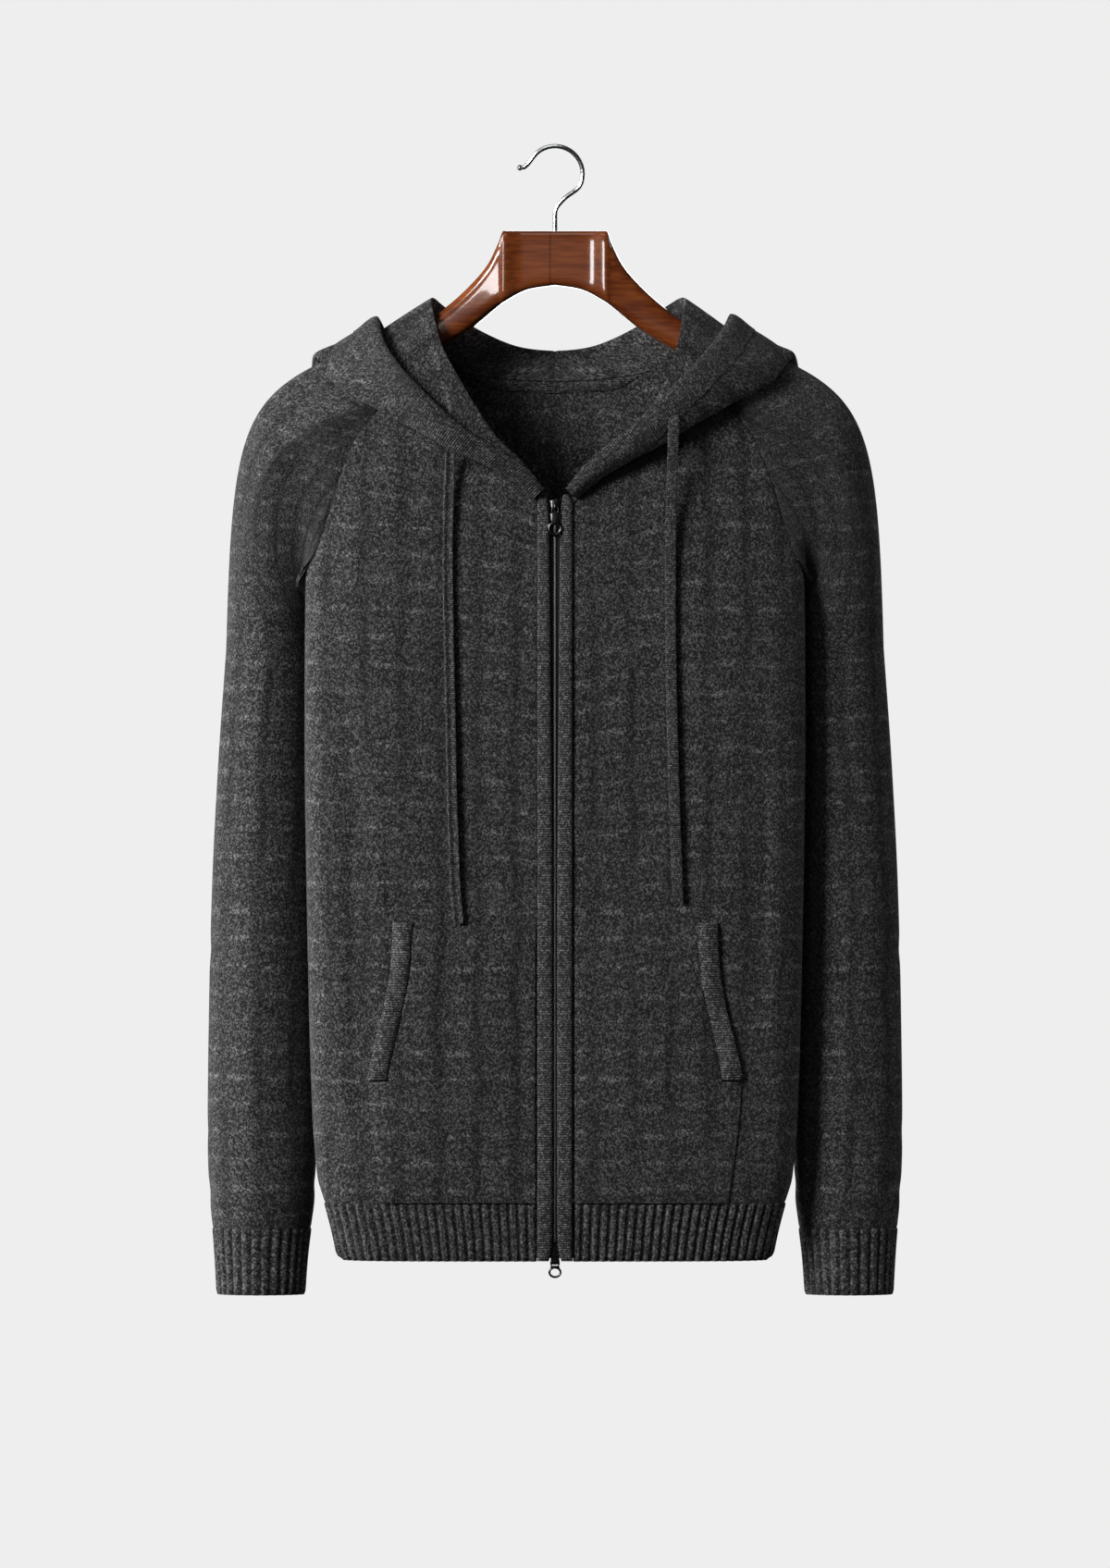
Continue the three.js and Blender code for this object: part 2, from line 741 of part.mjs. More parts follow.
function ringNormal(share, z) {
  const step = 0.004;
  const along = sleeveRing(share + step, z).sub(sleeveRing(share - step, z));
  const up = sleeveRing(share, z + 2).sub(sleeveRing(share, z - 2));
  return along.cross(up).normalize();
}

// One section of the hood as a curve from the neck seam to the free edge.
function hoodKeys(side, row) {
  const front = HOOD_FRONT[side > 0 ? "left" : "right"];
  const shape = row < front.length ? front[row] : HOOD_BACK[row - front.length];
  const depth = HOOD_DEPTH[row];
  const fold = new THREE.Vector3(shape.foldX, depth.foldY, shape.foldZ);
  const low = new THREE.Vector3(shape.lowX, depth.lowY, shape.lowZ);
  const edge = new THREE.Vector3(shape.edgeX, depth.edgeY, shape.edgeZ);
  return { fold, low, edge, thickness: depth.thickness };
}

const HOOD_ROWS = HOOD_DEPTH.length;

function hoodLines(side) {
  const keys = Array.from({ length: HOOD_ROWS }, (_, row) => hoodKeys(side, row));
  return {
    fold: new THREE.CatmullRomCurve3(keys.map((k) => k.fold)),
    low: new THREE.CatmullRomCurve3(keys.map((k) => k.low)),
    edge: new THREE.CatmullRomCurve3(keys.map((k) => k.edge)),
  };
}

function hoodSection(lines, place) {
  const t = place / (HOOD_ROWS - 1);
  const neck = neckPoint(place);
  const fold = lines.fold.getPoint(t);
  const low = lines.low.getPoint(t);
  const edge = lines.edge.getPoint(t);
  const size = Math.min(1, low.distanceTo(edge) / 60);
  const sag = new THREE.Vector3(0, 0, -7 * size * Math.exp(-Math.pow((place - 7) / 1.6, 2)));
  const rise = neck.clone().lerp(fold, 0.5);
  const down = fold.clone().lerp(low, 0.5).add(sag);
  const belly = low.clone().lerp(edge, 0.45).add(hoodOutward(place).multiplyScalar(3 * size));
  const apart = belly.clone().sub(down).normalize().multiplyScalar(1.5 + 2.5 * size);
  const turnUp = edge.clone().sub(low).normalize().multiplyScalar(2 + 4 * size);
  const turnIn = low.clone().sub(apart).add(turnUp);
  const turnOut = low.clone().add(apart).add(turnUp);
  return [neck, rise, fold, down, turnIn, low, turnOut, belly, edge];
}

// Horizontal direction away from the neck at a place along the hood.
function hoodOutward(place) {
  const t = NECK_CURVE.getTangent(place / (NECK.length - 1));
  return new THREE.Vector3(t.y, -t.x, 0).normalize();
}

const HOOD_STATIONS = [
  0, 0.7, 1.4, 2.1, 2.8, 3.5, 4.2, 4.9, 5.5, 6, 6.4, 6.8, 7.1, 7.4, 7.7, 8, 8.35, 8.8, 9.3, 9.9, 10.4, 11,
];
const BAND_COLUMNS = 3; // the last columns of the hood, under the casing

// The curve share that lies one band width before the free edge.
function bandStart(curve) {
  let share = 1;
  let run = 0;
  let last = curve.getPoint(1);
  while (run < BAND_WIDTH && share > 0.7) {
    share -= 0.01;
    const p = curve.getPoint(share);
    run += p.distanceTo(last);
    last = p;
  }
  return share;
}

function hoodShares(curve) {
  const start = bandStart(curve);
  const body = [0, 0.05, 0.1, 0.17, 0.25, 0.36, 0.48, 0.57, 0.625, 0.67, lerp(0.67, start, 0.5), start];
  const band = Array.from({ length: BAND_COLUMNS }, (_, i) => lerp(start, 1, (i + 1) / BAND_COLUMNS));
  return [...body, ...band];
}

function hoodThickness(place) {
  const row = Math.min(HOOD_ROWS - 2, Math.floor(place));
  return lerp(HOOD_DEPTH[row].thickness, HOOD_DEPTH[row + 1].thickness, place - row);
}

// Points over the facets of the sleeve's shoulder with their normals, for the hood to rest on.
const SHOULDER = (() => {
  const { rows } = sleeveRows(SLEEVE_COLUMNS);
  const upper = rows.slice(-7);
  const normals = gridNormals(upper, true);
  const steps = 5;
  const list = [];
  for (let i = 0; i + 1 < upper.length; i++)
    for (let j = 0; j < SLEEVE_COLUMNS; j++)
      for (let k = 0; k < steps * steps; k++) {
        const v = Math.floor(k / steps) / steps;
        const u = (k % steps) / steps;
        const next = (j + 1) % SLEEVE_COLUMNS;
        const blend = (g) =>
          g[i][j].clone().lerp(g[i][next], u).lerp(g[i + 1][j].clone().lerp(g[i + 1][next], u), v);
        list.push({ point: blend(upper), normal: blend(normals).normalize() });
      }
  return list;
})();

// How far a point must move to stay a distance above the shoulder, as a vector.
function liftOffShoulder(p, distance) {
  if (p.x < 80) return null;
  let nearest = SHOULDER[0];
  let best = Infinity;
  for (const sample of SHOULDER) {
    const d = sample.point.distanceToSquared(p);
    if (d < best) {
      best = d;
      nearest = sample;
    }
  }
  const height = p.clone().sub(nearest.point).dot(nearest.normal);
  if (best > 900 || height > distance) return null;
  return nearest.normal.clone().multiplyScalar(distance - height);
}

// Lifts the hood's points, then the middles of its cells, until all rest on the shoulder.
function settle(rows) {
  for (let round = 0; round < 6; round++) {
    rows.forEach((row) =>
      row.forEach((p, j) => {
        const lift = liftOffShoulder(p, j > 1 ? 4 : 3);
        if (lift) p.add(lift);
      }),
    );
    for (let i = 0; i + 1 < rows.length; i++)
      for (let j = 1; j + 1 < rows[0].length; j++) {
        const corners = [rows[i][j], rows[i][j + 1], rows[i + 1][j], rows[i + 1][j + 1]];
        const centre = new THREE.Vector3();
        corners.forEach((p) => centre.addScaledVector(p, 0.25));
        const lift = liftOffShoulder(centre, 4);
        if (lift) corners.forEach((p) => p.add(lift));
      }
  }
}

// The hood's middle surface and its normals, on the wearer's left. The neck seam is its first column.
function hoodSurface(side) {
  const lines = hoodLines(side);
  const middle = HOOD_STATIONS.map((place) => {
    const curve = new THREE.CatmullRomCurve3(hoodSection(lines, place), false, "centripetal");
    return hoodShares(curve).map((share) => curve.getPoint(share));
  });
  settle(middle);
  const normals = gridNormals(middle, false);
  middle.forEach((row, i) => {
    const n = neckNormal(HOOD_STATIONS[i]);
    const up = row[1].clone().sub(row[0]).projectOnPlane(n).normalize();
    row[0].addScaledVector(up, 1.5 * SEAM_GAP).addScaledVector(n, -CLOTH / 2);
    normals[i][0] = n.clone().multiplyScalar(Math.sign(n.dot(normals[i][0])) || 1);
  });
  middle[middle.length - 1].forEach((p) => p.setX(SEAM_GAP / 2));
  normals[normals.length - 1].forEach((n) => n.setX(0).normalize());
  return { middle, normals };
}

// The hood's surface moved along its normals, which point out of the pouch's inside when the amount is positive.
function hoodLayer(side, { middle, normals }, amount, from = 0) {
  const rows = middle.map((row, i) =>
    row.slice(from).map((p, j) => {
      const lift = amount(HOOD_STATIONS[i], j);
      return p.clone().addScaledVector(normals[i][from + j], lift);
    }),
  );
  return side < 0 ? mirrored(rows) : rows;
}

function hoodHalf(side) {
  const surface = hoodSurface(side);
  const half = (place) => hoodThickness(place) / 2;
  const outer = hoodLayer(side, surface, half);
  const inner = hoodLayer(side, surface, (place) => -half(place));
  return shell(outer, inner, false);
}

// The casing along the hood's free edge: the outer wall's own points, moved out.
function hoodBand(side) {
  const surface = hoodSurface(side);
  const from = surface.middle[0].length - BAND_COLUMNS - 1;
  const outward = Math.sign(surface.normals[8][from + 1].dot(hoodOutward(HOOD_STATIONS[8])));
  const base = (place) => outward * (hoodThickness(place) / 2 + SEAM_GAP);
  const isEdge = (j) => j === 0 || j === BAND_COLUMNS;
  const top = (place, j) => base(place) + outward * (BAND_THICKNESS - (isEdge(j) ? 0.4 : 0));
  return shell(hoodLayer(side, surface, top, from), hoodLayer(side, surface, base, from), false);
}

// The strip that covers the back neck seam inside the garment.
function neckBinding() {
  const drop = 9;
  const reach = 1.5; // rows of NECK on each side of the centre back
  const rows = grid(1, 18, (u, v) => {
    const side = u < 0.5 ? 1 : -1;
    const place = NECK.length - 1 - Math.abs(2 * u - 1) * reach;
    const p = neckPoint(place);
    const z = p.z - 1 - drop * (1 - v);
    const angle = Math.PI - side * frontAngle(Math.max(0, p.x), z);
    return torso(angle, z).addScaledVector(torsoNormal(angle, z), -CLOTH - 2 * SEAM_GAP);
  });
  return clothWall(rows, { thickness: 1.2 });
}

// Height where the placket's face lies, following the torso's centre front.
function centreFrontY(z) {
  return SIDE_Y - read(TORSO, "z", "front", z);
}

const PLACKET_BOTTOM = -900.5;

function placket(side) {
  const levels = [PLACKET_BOTTOM, -896, -880, -857, -820, -760, -700, -640, -570, -500, -440, -380, -340, -312, -298, ZIP_TOP - 1];
  const steps = 10;
  const rings = levels.map((z, i) => {
    const inner = read(ZIP_GAP, "z", "half", z);
    const isEnd = i === 0 || i === levels.length - 1;
    const shrink = isEnd ? 0.75 : 1;
    const centre = (inner + PLACKET_OUTER) / 2;
    const half = ((PLACKET_OUTER - inner) / 2) * (isEnd ? 0.92 : 1);
    return Array.from({ length: steps }, (_, j) => {
      const turn = (2 * Math.PI * (j + 0.5)) / steps;
      const c = Math.cos(turn);
      const s = Math.sin(turn);
      const x = centre + half * Math.sign(c) * Math.pow(Math.abs(c), 0.7);
      const y = centreFrontY(z) - 0.4 + 2 * shrink * Math.sign(s) * Math.pow(Math.abs(s), 0.8);
      return new THREE.Vector3(side * x, y, z);
    });
  });
  return sweep(rings);
}

const ZIP_BEAD_FRONT = 1.9; // behind the centre front surface
const TAPE_BOTTOM = -889.6;

function zipTape(side) {
  const outline = [
    [0.25, 1.9],
    [2.1, 1.9],
    [2.1, 2.6],
    [13, 2.6],
    [13, 3.3],
    [2.1, 3.3],
    [2.1, 3.9],
    [0.25, 3.9],
  ];
  const levels = [TAPE_BOTTOM, -857, -820, -760, -700, -630, -560, -480, -400, -340, ZIP_TOP - 4];
  return sweep(levels.map((z) => outline.map(([x, y]) => new THREE.Vector3(side * x, centreFrontY(z) + y, z))));
}

// Manifold helpers for the small metal parts
function toManifold(geometry) {
  const bare = geometry.clone();
  bare.deleteAttribute("normal");
  bare.deleteAttribute("uv");
  const merged = mergeVertices(bare, 1e-4);
  const index = merged.index.array;
  const kept = [];
  for (let i = 0; i < index.length; i += 3) {
    const [a, b, c] = index.slice(i, i + 3);
    if (a !== b && b !== c && c !== a) kept.push(a, b, c);
  }
  return new wasm.Manifold(
    new wasm.Mesh({
      numProp: 3,
      vertProperties: new Float32Array(merged.attributes.position.array),
      triVerts: new Uint32Array(kept),
    }),
  );
}

function fromManifold(solid) {
  const mesh = solid.getMesh();
  return closed(Array.from(mesh.vertProperties), Array.from(mesh.triVerts));
}

// Extrudes an outline drawn in x and z, from one y to another.
function plate(shape, frontY, backY, curveSegments = 10) {
  const geometry = new THREE.ExtrudeGeometry(shape, {
    depth: backY - frontY,
    bevelEnabled: false,
    curveSegments,
  });
  geometry.rotateX(HALF_PI); // the outline's y becomes z, the extrusion runs to -y
  geometry.translate(0, backY, 0);
  return geometry;
}

function polygon(points) {
  return new THREE.Shape(points.map(([x, y]) => new THREE.Vector2(x, y)));
}

function ellipse(centre, halfWidth, halfHeight) {
  const steps = 20;
  const points = Array.from({ length: steps }, (_, i) => {
    const turn = (2 * Math.PI * i) / steps;
    return [halfWidth * Math.cos(turn), centre + halfHeight * Math.sin(turn)];
  });
  return polygon(points);
}

// A slider: a tapered plate and a small arch that the pull's bar passes under. The arch is centred on z = 0.
function slider(top, bottom, topHalf, bottomHalf, plateFront, plateBack, archFront) {
  const body = polygon([
    [-bottomHalf, bottom],
    [bottomHalf, bottom],
    [topHalf, top - 2.5],
    [topHalf - 1.2, top],
    [-topHalf + 1.2, top],
    [-topHalf, top - 2.5],
  ]);
  const archHalf = 0.9;
  const legs = 3.0;
  const bar = 1.0;
  const outer = new THREE.BoxGeometry(2 * archHalf, plateFront - archFront, 2 * legs);
  outer.translate(0, (plateFront + archFront) / 2 + 0.1, 0);
  const hole = new THREE.BoxGeometry(4 * archHalf, plateFront - archFront - bar, 2 * (legs - bar));
  hole.translate(0, (plateFront + archFront + bar) / 2, 0);
  const arch = toManifold(outer).subtract(toManifold(hole));
  return fromManifold(toManifold(plate(body, plateFront, plateBack)).add(arch));
}

// A pull tab with a slotted head, a short plate and a ring, hanging from z = 0.
function pullTab({ headHalf, eyeHalf, eyeDepth, plateHalf, plateBottom, ringCentre, ringOuter, ringInner, squash }) {
  const thickness = 1.2;
  const head = polygon([
    [headHalf, 0.6],
    [-headHalf, 0.6],
    [-headHalf, -eyeDepth],
    [-plateHalf, -eyeDepth - 1],
    [-plateHalf, plateBottom],
    [plateHalf, plateBottom],
    [plateHalf, -eyeDepth - 1],
    [headHalf, -eyeDepth],
  ]);
  head.holes.push(
    polygon([
      [-eyeHalf, -0.6],
      [eyeHalf, -0.6],
      [eyeHalf, -eyeDepth + 0.4],
      [-eyeHalf, -eyeDepth + 0.4],
    ]),
  );
  const disc = ellipse(ringCentre, ringOuter, ringOuter * squash);
  const opening = ellipse(ringCentre, ringInner, ringInner * squash);
  const half = thickness / 2;
  const tab = toManifold(plate(head, -half, half))
    .add(toManifold(plate(disc, -half, half)))
    .subtract(toManifold(plate(opening, -1, 1)));
  return fromManifold(tab);
}

const SLIDER_TOP_Z = -293;
const SLIDER_BOTTOM_Z = -903.4;

// Pocket patch of one side, lying on the front panel. The opening ends at a notch for the welt.
const POCKET_LEVELS = [HEM_TOP + 1, -835, -810, -785, -758.9, -757.9, -735, -705, -680, -655, POCKET_TOP];
const POCKET_LIFT = 0.6;

function pocketGrid(side, columns, lift) {
  return POCKET_LEVELS.map((z) => {
    const narrow = read(POCKET_SIDE, "z", "x", z) - WELT_WIDTH - SEAM_GAP;
    const isOpening = z > POCKET_OPENING_LOW - 1.4;
    return Array.from({ length: columns + 1 }, (_, j) => {
      const plain = lerp(PANEL_EDGE + 1.2, narrow - 0.8, j / (columns - 1));
      const last = isOpening ? narrow : narrow + WELT_WIDTH;
      const x = j < columns ? plain : last;
      const u = Math.min(1, j / (columns - 1));
      const v = (z - POCKET_LEVELS[0]) / (POCKET_TOP - POCKET_LEVELS[0]);
      const puff = 2.4 * Math.sin(Math.PI * u) * Math.sin(Math.PI * v);
      return onFront(side * x, z, lift + puff);
    });
  });
}

function pocket(side) {
  return shell(pocketGrid(side, 8, POCKET_LIFT + CLOTH), pocketGrid(side, 8, POCKET_LIFT), false);
}

function pocketWelt(side) {
  const opening = POCKET_LEVELS.filter((z) => z > POCKET_OPENING_LOW);
  const levels = [POCKET_OPENING_LOW + 0.4, ...opening, POCKET_TOP + 3];
  const columns = 3;
  const place = (lift) =>
    levels.map((z) =>
      Array.from({ length: columns + 1 }, (_, j) => {
        const edge = read(POCKET_SIDE, "z", "x", z);
        const crown = lift > 1 ? 0.9 * Math.sin((Math.PI * j) / columns) : 0;
        return onFront(side * lerp(edge - WELT_WIDTH, edge, j / columns), z, lift + crown);
      }),
    );
  return shell(place(POCKET_LIFT + 2.8), place(POCKET_LIFT), false);
}

// Drawstrings: flat knitted cords. The route's points are in millimetres.
const STRING_RIGHT = [
  [-84.5, -57.4, -248.8],
  [-84.8, -56, -262],
  [-85.4, -55, -276],
  [-86, -54.4, -295],
  [-86.5, -54.2, -330],
  [-86, -54.6, -380],
  [-85, -55.4, -430],
  [-84, -56.2, -480],
  [-83, -57, -530],
  [-81.5, -57.4, -570],
  [-80, -57.4, -605],
  [-77.5, -57.4, -630],
];
const STRING_LEFT = [
  [96, -64.6, -219],
  [96, -66.8, -226],
  [95.5, -67, -240],
  [95, -61, -262],
  [94, -56.5, -290],
  [93.5, -54.4, -330],
  [93.5, -54.4, -380],
  [94, -55, -430],
  [95, -55.8, -480],
  [96.5, -56.4, -530],
  [98, -56.8, -575],
  [99.5, -57, -612],
];

function drawstring(points, width, thickness) {
  const curve = new THREE.CatmullRomCurve3(points.map((p) => new THREE.Vector3(...p)));
  const steps = 26;
  const rings = [];
  for (let i = 0; i <= steps; i++) {
    const t = i / steps;
    const centre = curve.getPointAt(t);
    const along = curve.getTangentAt(t);
    const across = new THREE.Vector3(1, 0, 0).projectOnPlane(along).normalize();
    const out = along.clone().cross(across).normalize();
    rings.push(
      Array.from({ length: 8 }, (_, j) => {
        const turn = (2 * Math.PI * (j + 0.5)) / 8;
        return centre
          .clone()
          .addScaledVector(across, (width / 2) * Math.cos(turn) * 1.08)
          .addScaledVector(out, (thickness / 2) * Math.sin(turn) * 1.08);
      }),
    );
  }
  return sweep(rings);
}

// The wooden hanger: sections across X, each a rounded box.
function hangerWood() {
  const rings = [];
  const section = (x, top, bottom, halfDepth, power) => {
    const steps = 12;
    const middle = (top + bottom) / 2;
    const halfHeight = (top - bottom) / 2;
    return Array.from({ length: steps }, (_, j) => {
      const turn = (2 * Math.PI * (j + 0.5)) / steps;
      const c = Math.cos(turn);
      const s = Math.sin(turn);
      return new THREE.Vector3(
        x,
        halfDepth * Math.sign(c) * Math.pow(Math.abs(c), 2 / power),
        middle + halfHeight * Math.sign(s) * Math.pow(Math.abs(s), 2 / power),
      );
    });
  };
  const last = HANGER[HANGER.length - 1];
  const end = { x: HANGER_END, top: last.top - 4, bottom: last.bottom + 4, halfDepth: last.halfDepth * 0.5, round: 2 };
  const list = [...HANGER, end];
  for (const row of [...list.slice(1).reverse()])
    rings.push(section(-row.x, row.top, row.bottom, row.halfDepth, row.round));
  for (const row of list) rings.push(section(row.x, row.top, row.bottom, row.halfDepth, row.round));
  return sweep(rings);
}

// The hook: a straight stem, a slanted neck and a round crook, ending in a small ball.
function hangerHook() {
  const points = [];
  const centreZ = HOOK_WIRE - HOOK_RADIUS;
  const radians = THREE.MathUtils.degToRad;
  for (const z of [HOOK_STEM_BOTTOM, -62, -55]) points.push(new THREE.Vector3(0, 0, z));
  points.push(new THREE.Vector3(0.6, 0, -49.5));
  points.push(new THREE.Vector3(7.5, 0, -41));
  for (let a = -28; a <= 150; a += 17.8)
    points.push(
      new THREE.Vector3(
        HOOK_RADIUS * Math.cos(radians(a)),
        0,
        centreZ + HOOK_RADIUS * Math.sin(radians(a)),
      ),
    );
  points.push(new THREE.Vector3(-24.5, 0, -15.2));
  points.push(new THREE.Vector3(-28.5, 0, -15.8));
  const curve = new THREE.CatmullRomCurve3(points, false, "centripetal");
  const circle = new THREE.Shape();
  circle.absarc(0, 0, HOOK_WIRE, 0, 2 * Math.PI);
  const wire = new THREE.ExtrudeGeometry(circle, {
    steps: 34,
    curveSegments: 4,
    bevelEnabled: false,
    extrudePath: curve,
  });
  const tip = new THREE.SphereGeometry(2.5, 8, 6);
  tip.translate(-28.5, 0, -15.8);
  return fromManifold(toManifold(wire).add(toManifold(tip)));
}

// Materials
const knit = new THREE.MeshStandardMaterial({ color: 0x3a3a3c, roughness: 0.95, metalness: 0 });
const ribKnit = new THREE.MeshStandardMaterial({ color: 0x38383a, roughness: 0.95, metalness: 0 });
const cordKnit = new THREE.MeshStandardMaterial({ color: 0x424244, roughness: 0.95, metalness: 0 });
const tapeCloth = new THREE.MeshStandardMaterial({ color: 0x121214, roughness: 0.9, metalness: 0 });
const darkMetal = new THREE.MeshStandardMaterial({ color: 0x2a2a2c, roughness: 0.25, metalness: 1 });
const wood = new THREE.MeshStandardMaterial({ color: 0x6b2a0e, roughness: 0.2, metalness: 0 });
const chrome = new THREE.MeshStandardMaterial({ color: 0xc4c6c8, roughness: 0.1, metalness: 1 });

const hoodie = new THREE.Group();

function add(name, geometry, material) {
  const mesh = new THREE.Mesh(geometry, material);
  mesh.name = name;
  hoodie.add(mesh);
  return mesh;
}

const SIDES = [
  { side: 1, word: "left", string: STRING_LEFT, width: 9 },
  { side: -1, word: "right", string: STRING_RIGHT, width: 8 },
];

add("back", backPanel(), knit);
add("hem_rib_back", hemRib(SIDE_SEAM_ANGLE, 2 * Math.PI - SIDE_SEAM_ANGLE), ribKnit);
add("neck_binding", neckBinding(), knit);
for (const { side, word, string, width } of SIDES) {
  const start = frontAngle(PANEL_EDGE, (HEM_TOP + HEM_BOTTOM) / 2);
  add(`front_${word}`, frontPanel(side < 0), knit);
  add(`sleeve_${word}`, sleeveWall(side), knit);
  add(`cuff_${word}`, cuff(side), ribKnit);
  add(`hem_rib_front_${word}`, hemRib(side * start, side * SIDE_SEAM_ANGLE), ribKnit);
  add(`hood_${word}`, hoodHalf(side), knit);
  add(`hood_band_${word}`, hoodBand(side), ribKnit);
  add(`placket_${word}`, placket(side), ribKnit);
  add(`pocket_${word}`, pocket(side), knit);
  add(`pocket_welt_${word}`, pocketWelt(side), ribKnit);
  add(`zip_tape_${word}`, zipTape(side), tapeCloth);
  add(`drawstring_${word}`, drawstring(string, width, 2.4), cordKnit);
}

// Zip sliders and pulls. Their y values count from the centre front surface at their height.
const topY = centreFrontY(SLIDER_TOP_Z);
const bottomY = centreFrontY(SLIDER_BOTTOM_Z);
const sliderTop = add("zip_slider_top", slider(6, -6.5, 4.4, 3.6, -0.9, 1.2, -6.4), darkMetal);
sliderTop.position.set(0, topY, SLIDER_TOP_Z);
const sliderBottom = add("zip_slider_bottom", slider(13.4, -3, 2.6, 4, 1.9, 4.2, -1.9), darkMetal);
sliderBottom.position.set(0, bottomY, SLIDER_BOTTOM_Z);
const pullTop = add(
  "zip_pull_top",
  pullTab({
    headHalf: 3,
    eyeHalf: 1.9,
    eyeDepth: 5,
    plateHalf: 4.1,
    plateBottom: -13,
    ringCentre: -17.6,
    ringOuter: 6.3,
    ringInner: 3.3,
    squash: 1,
  }),
  darkMetal,
);
pullTop.position.set(0, topY - 4.3, SLIDER_TOP_Z);
const pullBottom = add(
  "zip_pull_bottom",
  pullTab({
    headHalf: 3.6,
    eyeHalf: 2.4,
    eyeDepth: 4.4,
    plateHalf: 4.2,
    plateBottom: -8,
    ringCentre: -9.2,
    ringOuter: 5.4,
    ringInner: 3.6,
    squash: 0.85,
  }),
  darkMetal,
);
pullBottom.position.set(0, bottomY + 0.4, SLIDER_BOTTOM_Z);

add("hanger", hangerWood(), wood);
add("hanger_hook", hangerHook(), chrome);

export default hoodie;
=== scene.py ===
import math

import bmesh
import bpy
import numpy as np
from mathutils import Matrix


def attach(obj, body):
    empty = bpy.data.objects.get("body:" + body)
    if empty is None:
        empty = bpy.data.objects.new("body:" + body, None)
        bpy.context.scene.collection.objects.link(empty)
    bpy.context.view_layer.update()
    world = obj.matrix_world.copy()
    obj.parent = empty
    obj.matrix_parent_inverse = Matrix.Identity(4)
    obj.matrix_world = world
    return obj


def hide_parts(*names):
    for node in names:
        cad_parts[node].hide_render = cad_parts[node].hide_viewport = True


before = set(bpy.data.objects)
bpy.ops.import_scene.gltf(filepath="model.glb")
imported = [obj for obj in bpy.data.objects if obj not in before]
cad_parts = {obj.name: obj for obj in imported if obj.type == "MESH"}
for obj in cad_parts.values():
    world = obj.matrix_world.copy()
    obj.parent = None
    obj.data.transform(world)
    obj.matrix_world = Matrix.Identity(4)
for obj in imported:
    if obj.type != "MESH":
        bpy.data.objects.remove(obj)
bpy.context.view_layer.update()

MM = 0.001
CLOTH = 2.4
SEAM_GAP = 0.3
HEM_BOTTOM = -904
HEM_TOP = -857
CUFF_BOTTOM = -933
CUFF_TOP = -879
SLEEVE_BEND = -406
UNDERARM = -352
ZIP_TOP = -287
PLACKET_BOTTOM = -903.6
PLACKET_OUTER = 14.4
PANEL_EDGE = 14.8
RIB_PITCH = 7.2
RIB_HEIGHT = 1.1
BAND_WIDTH = 22
BAND_THICKNESS = 1.7
POCKET_TOP = -632
POCKET_OPENING_LOW = -757
POCKET_LIFT = 0.6
WELT_WIDTH = 16
SIDE_Y = -6
SIDE_SEAM_ANGLE = 1.62
TAPE_BOTTOM = -889.6
SLIDER_TOP_Z = -293
SLIDER_BOTTOM_Z = -903.4
ZIP_PITCH = 2.7
FULL = 2 * math.pi


# Tables: the first argument names the columns.
def table(columns, *rows):
    data = np.array(rows, float)
    return {name: data[:, i] for i, name in enumerate(columns.split())}


TORSO = table(
    "z half_width front back",
    (-904, 176, 34, 34),
    (-880, 181, 39, 39),
    (-857, 187, 44, 43),
    (-836, 193, 46, 46),
    (-780, 197.5, 47, 48),
    (-630, 201.5, 48, 50),
    (-480, 203.5, 47, 51),
    (-352, 203, 46, 51),
    (-306, 199, 45, 50),
    (-256, 189, 43, 48),
    (-215, 173, 39, 44),
    (-177, 150, 34, 40),
    (-140, 130, 26, 34),
)
RAGLAN_FRONT = table(
    "z x", (-333, 195), (-306, 186), (-279, 178), (-256, 170), (-234, 160), (-215, 144), (-199, 121)
)
RAGLAN_BACK = table("z x", (-330, 195), (-300, 185), (-265, 171), (-230, 153), (-200, 124), (-177, 88))
NECK = table(
    "x y z on_body lean",
    (14.8, 0, -291, 1, 0),
    (38, 0, -266, 1, 0),
    (60, 0, -252, 1, 0),
    (85, 0, -237, 1, 0),
    (106, 0, -219, 1, 0),
    (121, 0, -199, 1, 0.15),
    (129, -18, -171, 0, 0.45),
    (127, 0, -148, 0, 0.6),
    (114, 18, -160, 0, 0.45),
    (88, 0, -177, 1, 0.15),
    (45, 0, -186, 1, 0),
    (0, 0, -189, 1, 0),
)
NECK_LAST = 11
NECK_FRONT_JOIN = 5
NECK_BACK_JOIN = 9
HOOD_DEPTH = table(
    "fold low edge thickness",
    (-50.8, -53, -55.5, 0.9),
    (-51, -55.5, -59, 1.3),
    (-51.5, -58, -62, 1.8),
    (-50, -58, -62.5, 2.2),
    (-45, -54, -59, 2.4),
    (-34, -43, -50, 2.4),
    (-18, -27, -32, 2.4),
    (0, -4, -4, 2.4),
    (24, 40, 44, 2.4),
    (36, 58, 68, 2.4),
    (43, 64, 80, 2.4),
    (46, 66, 84, 2.4),
)
HOOD_BACK = (
    (88, -130, 186, -246, 131, -158),
    (66, -145, 150, -330, 92, -192),
    (33, -160, 86, -388, 46, -214),
    (0, -166, 0, -408, 0, -222),
)
HOOD_COLUMNS = "fold_x fold_z low_x low_z edge_x edge_z"
HOOD_LEFT = table(
    HOOD_COLUMNS,
    (13, -281, 17.5, -287, 9, -279),
    (28, -256, 36, -271, 22, -262),
    (50, -238, 60, -256, 47, -241),
    (75, -216, 86, -242, 72, -219),
    (91, -190, 112, -226, 96, -195),
    (99, -164, 145, -207, 119, -170),
    (104, -140, 175, -190, 135, -149),
    (105, -123, 189, -176, 141, -137),
    *HOOD_BACK,
)
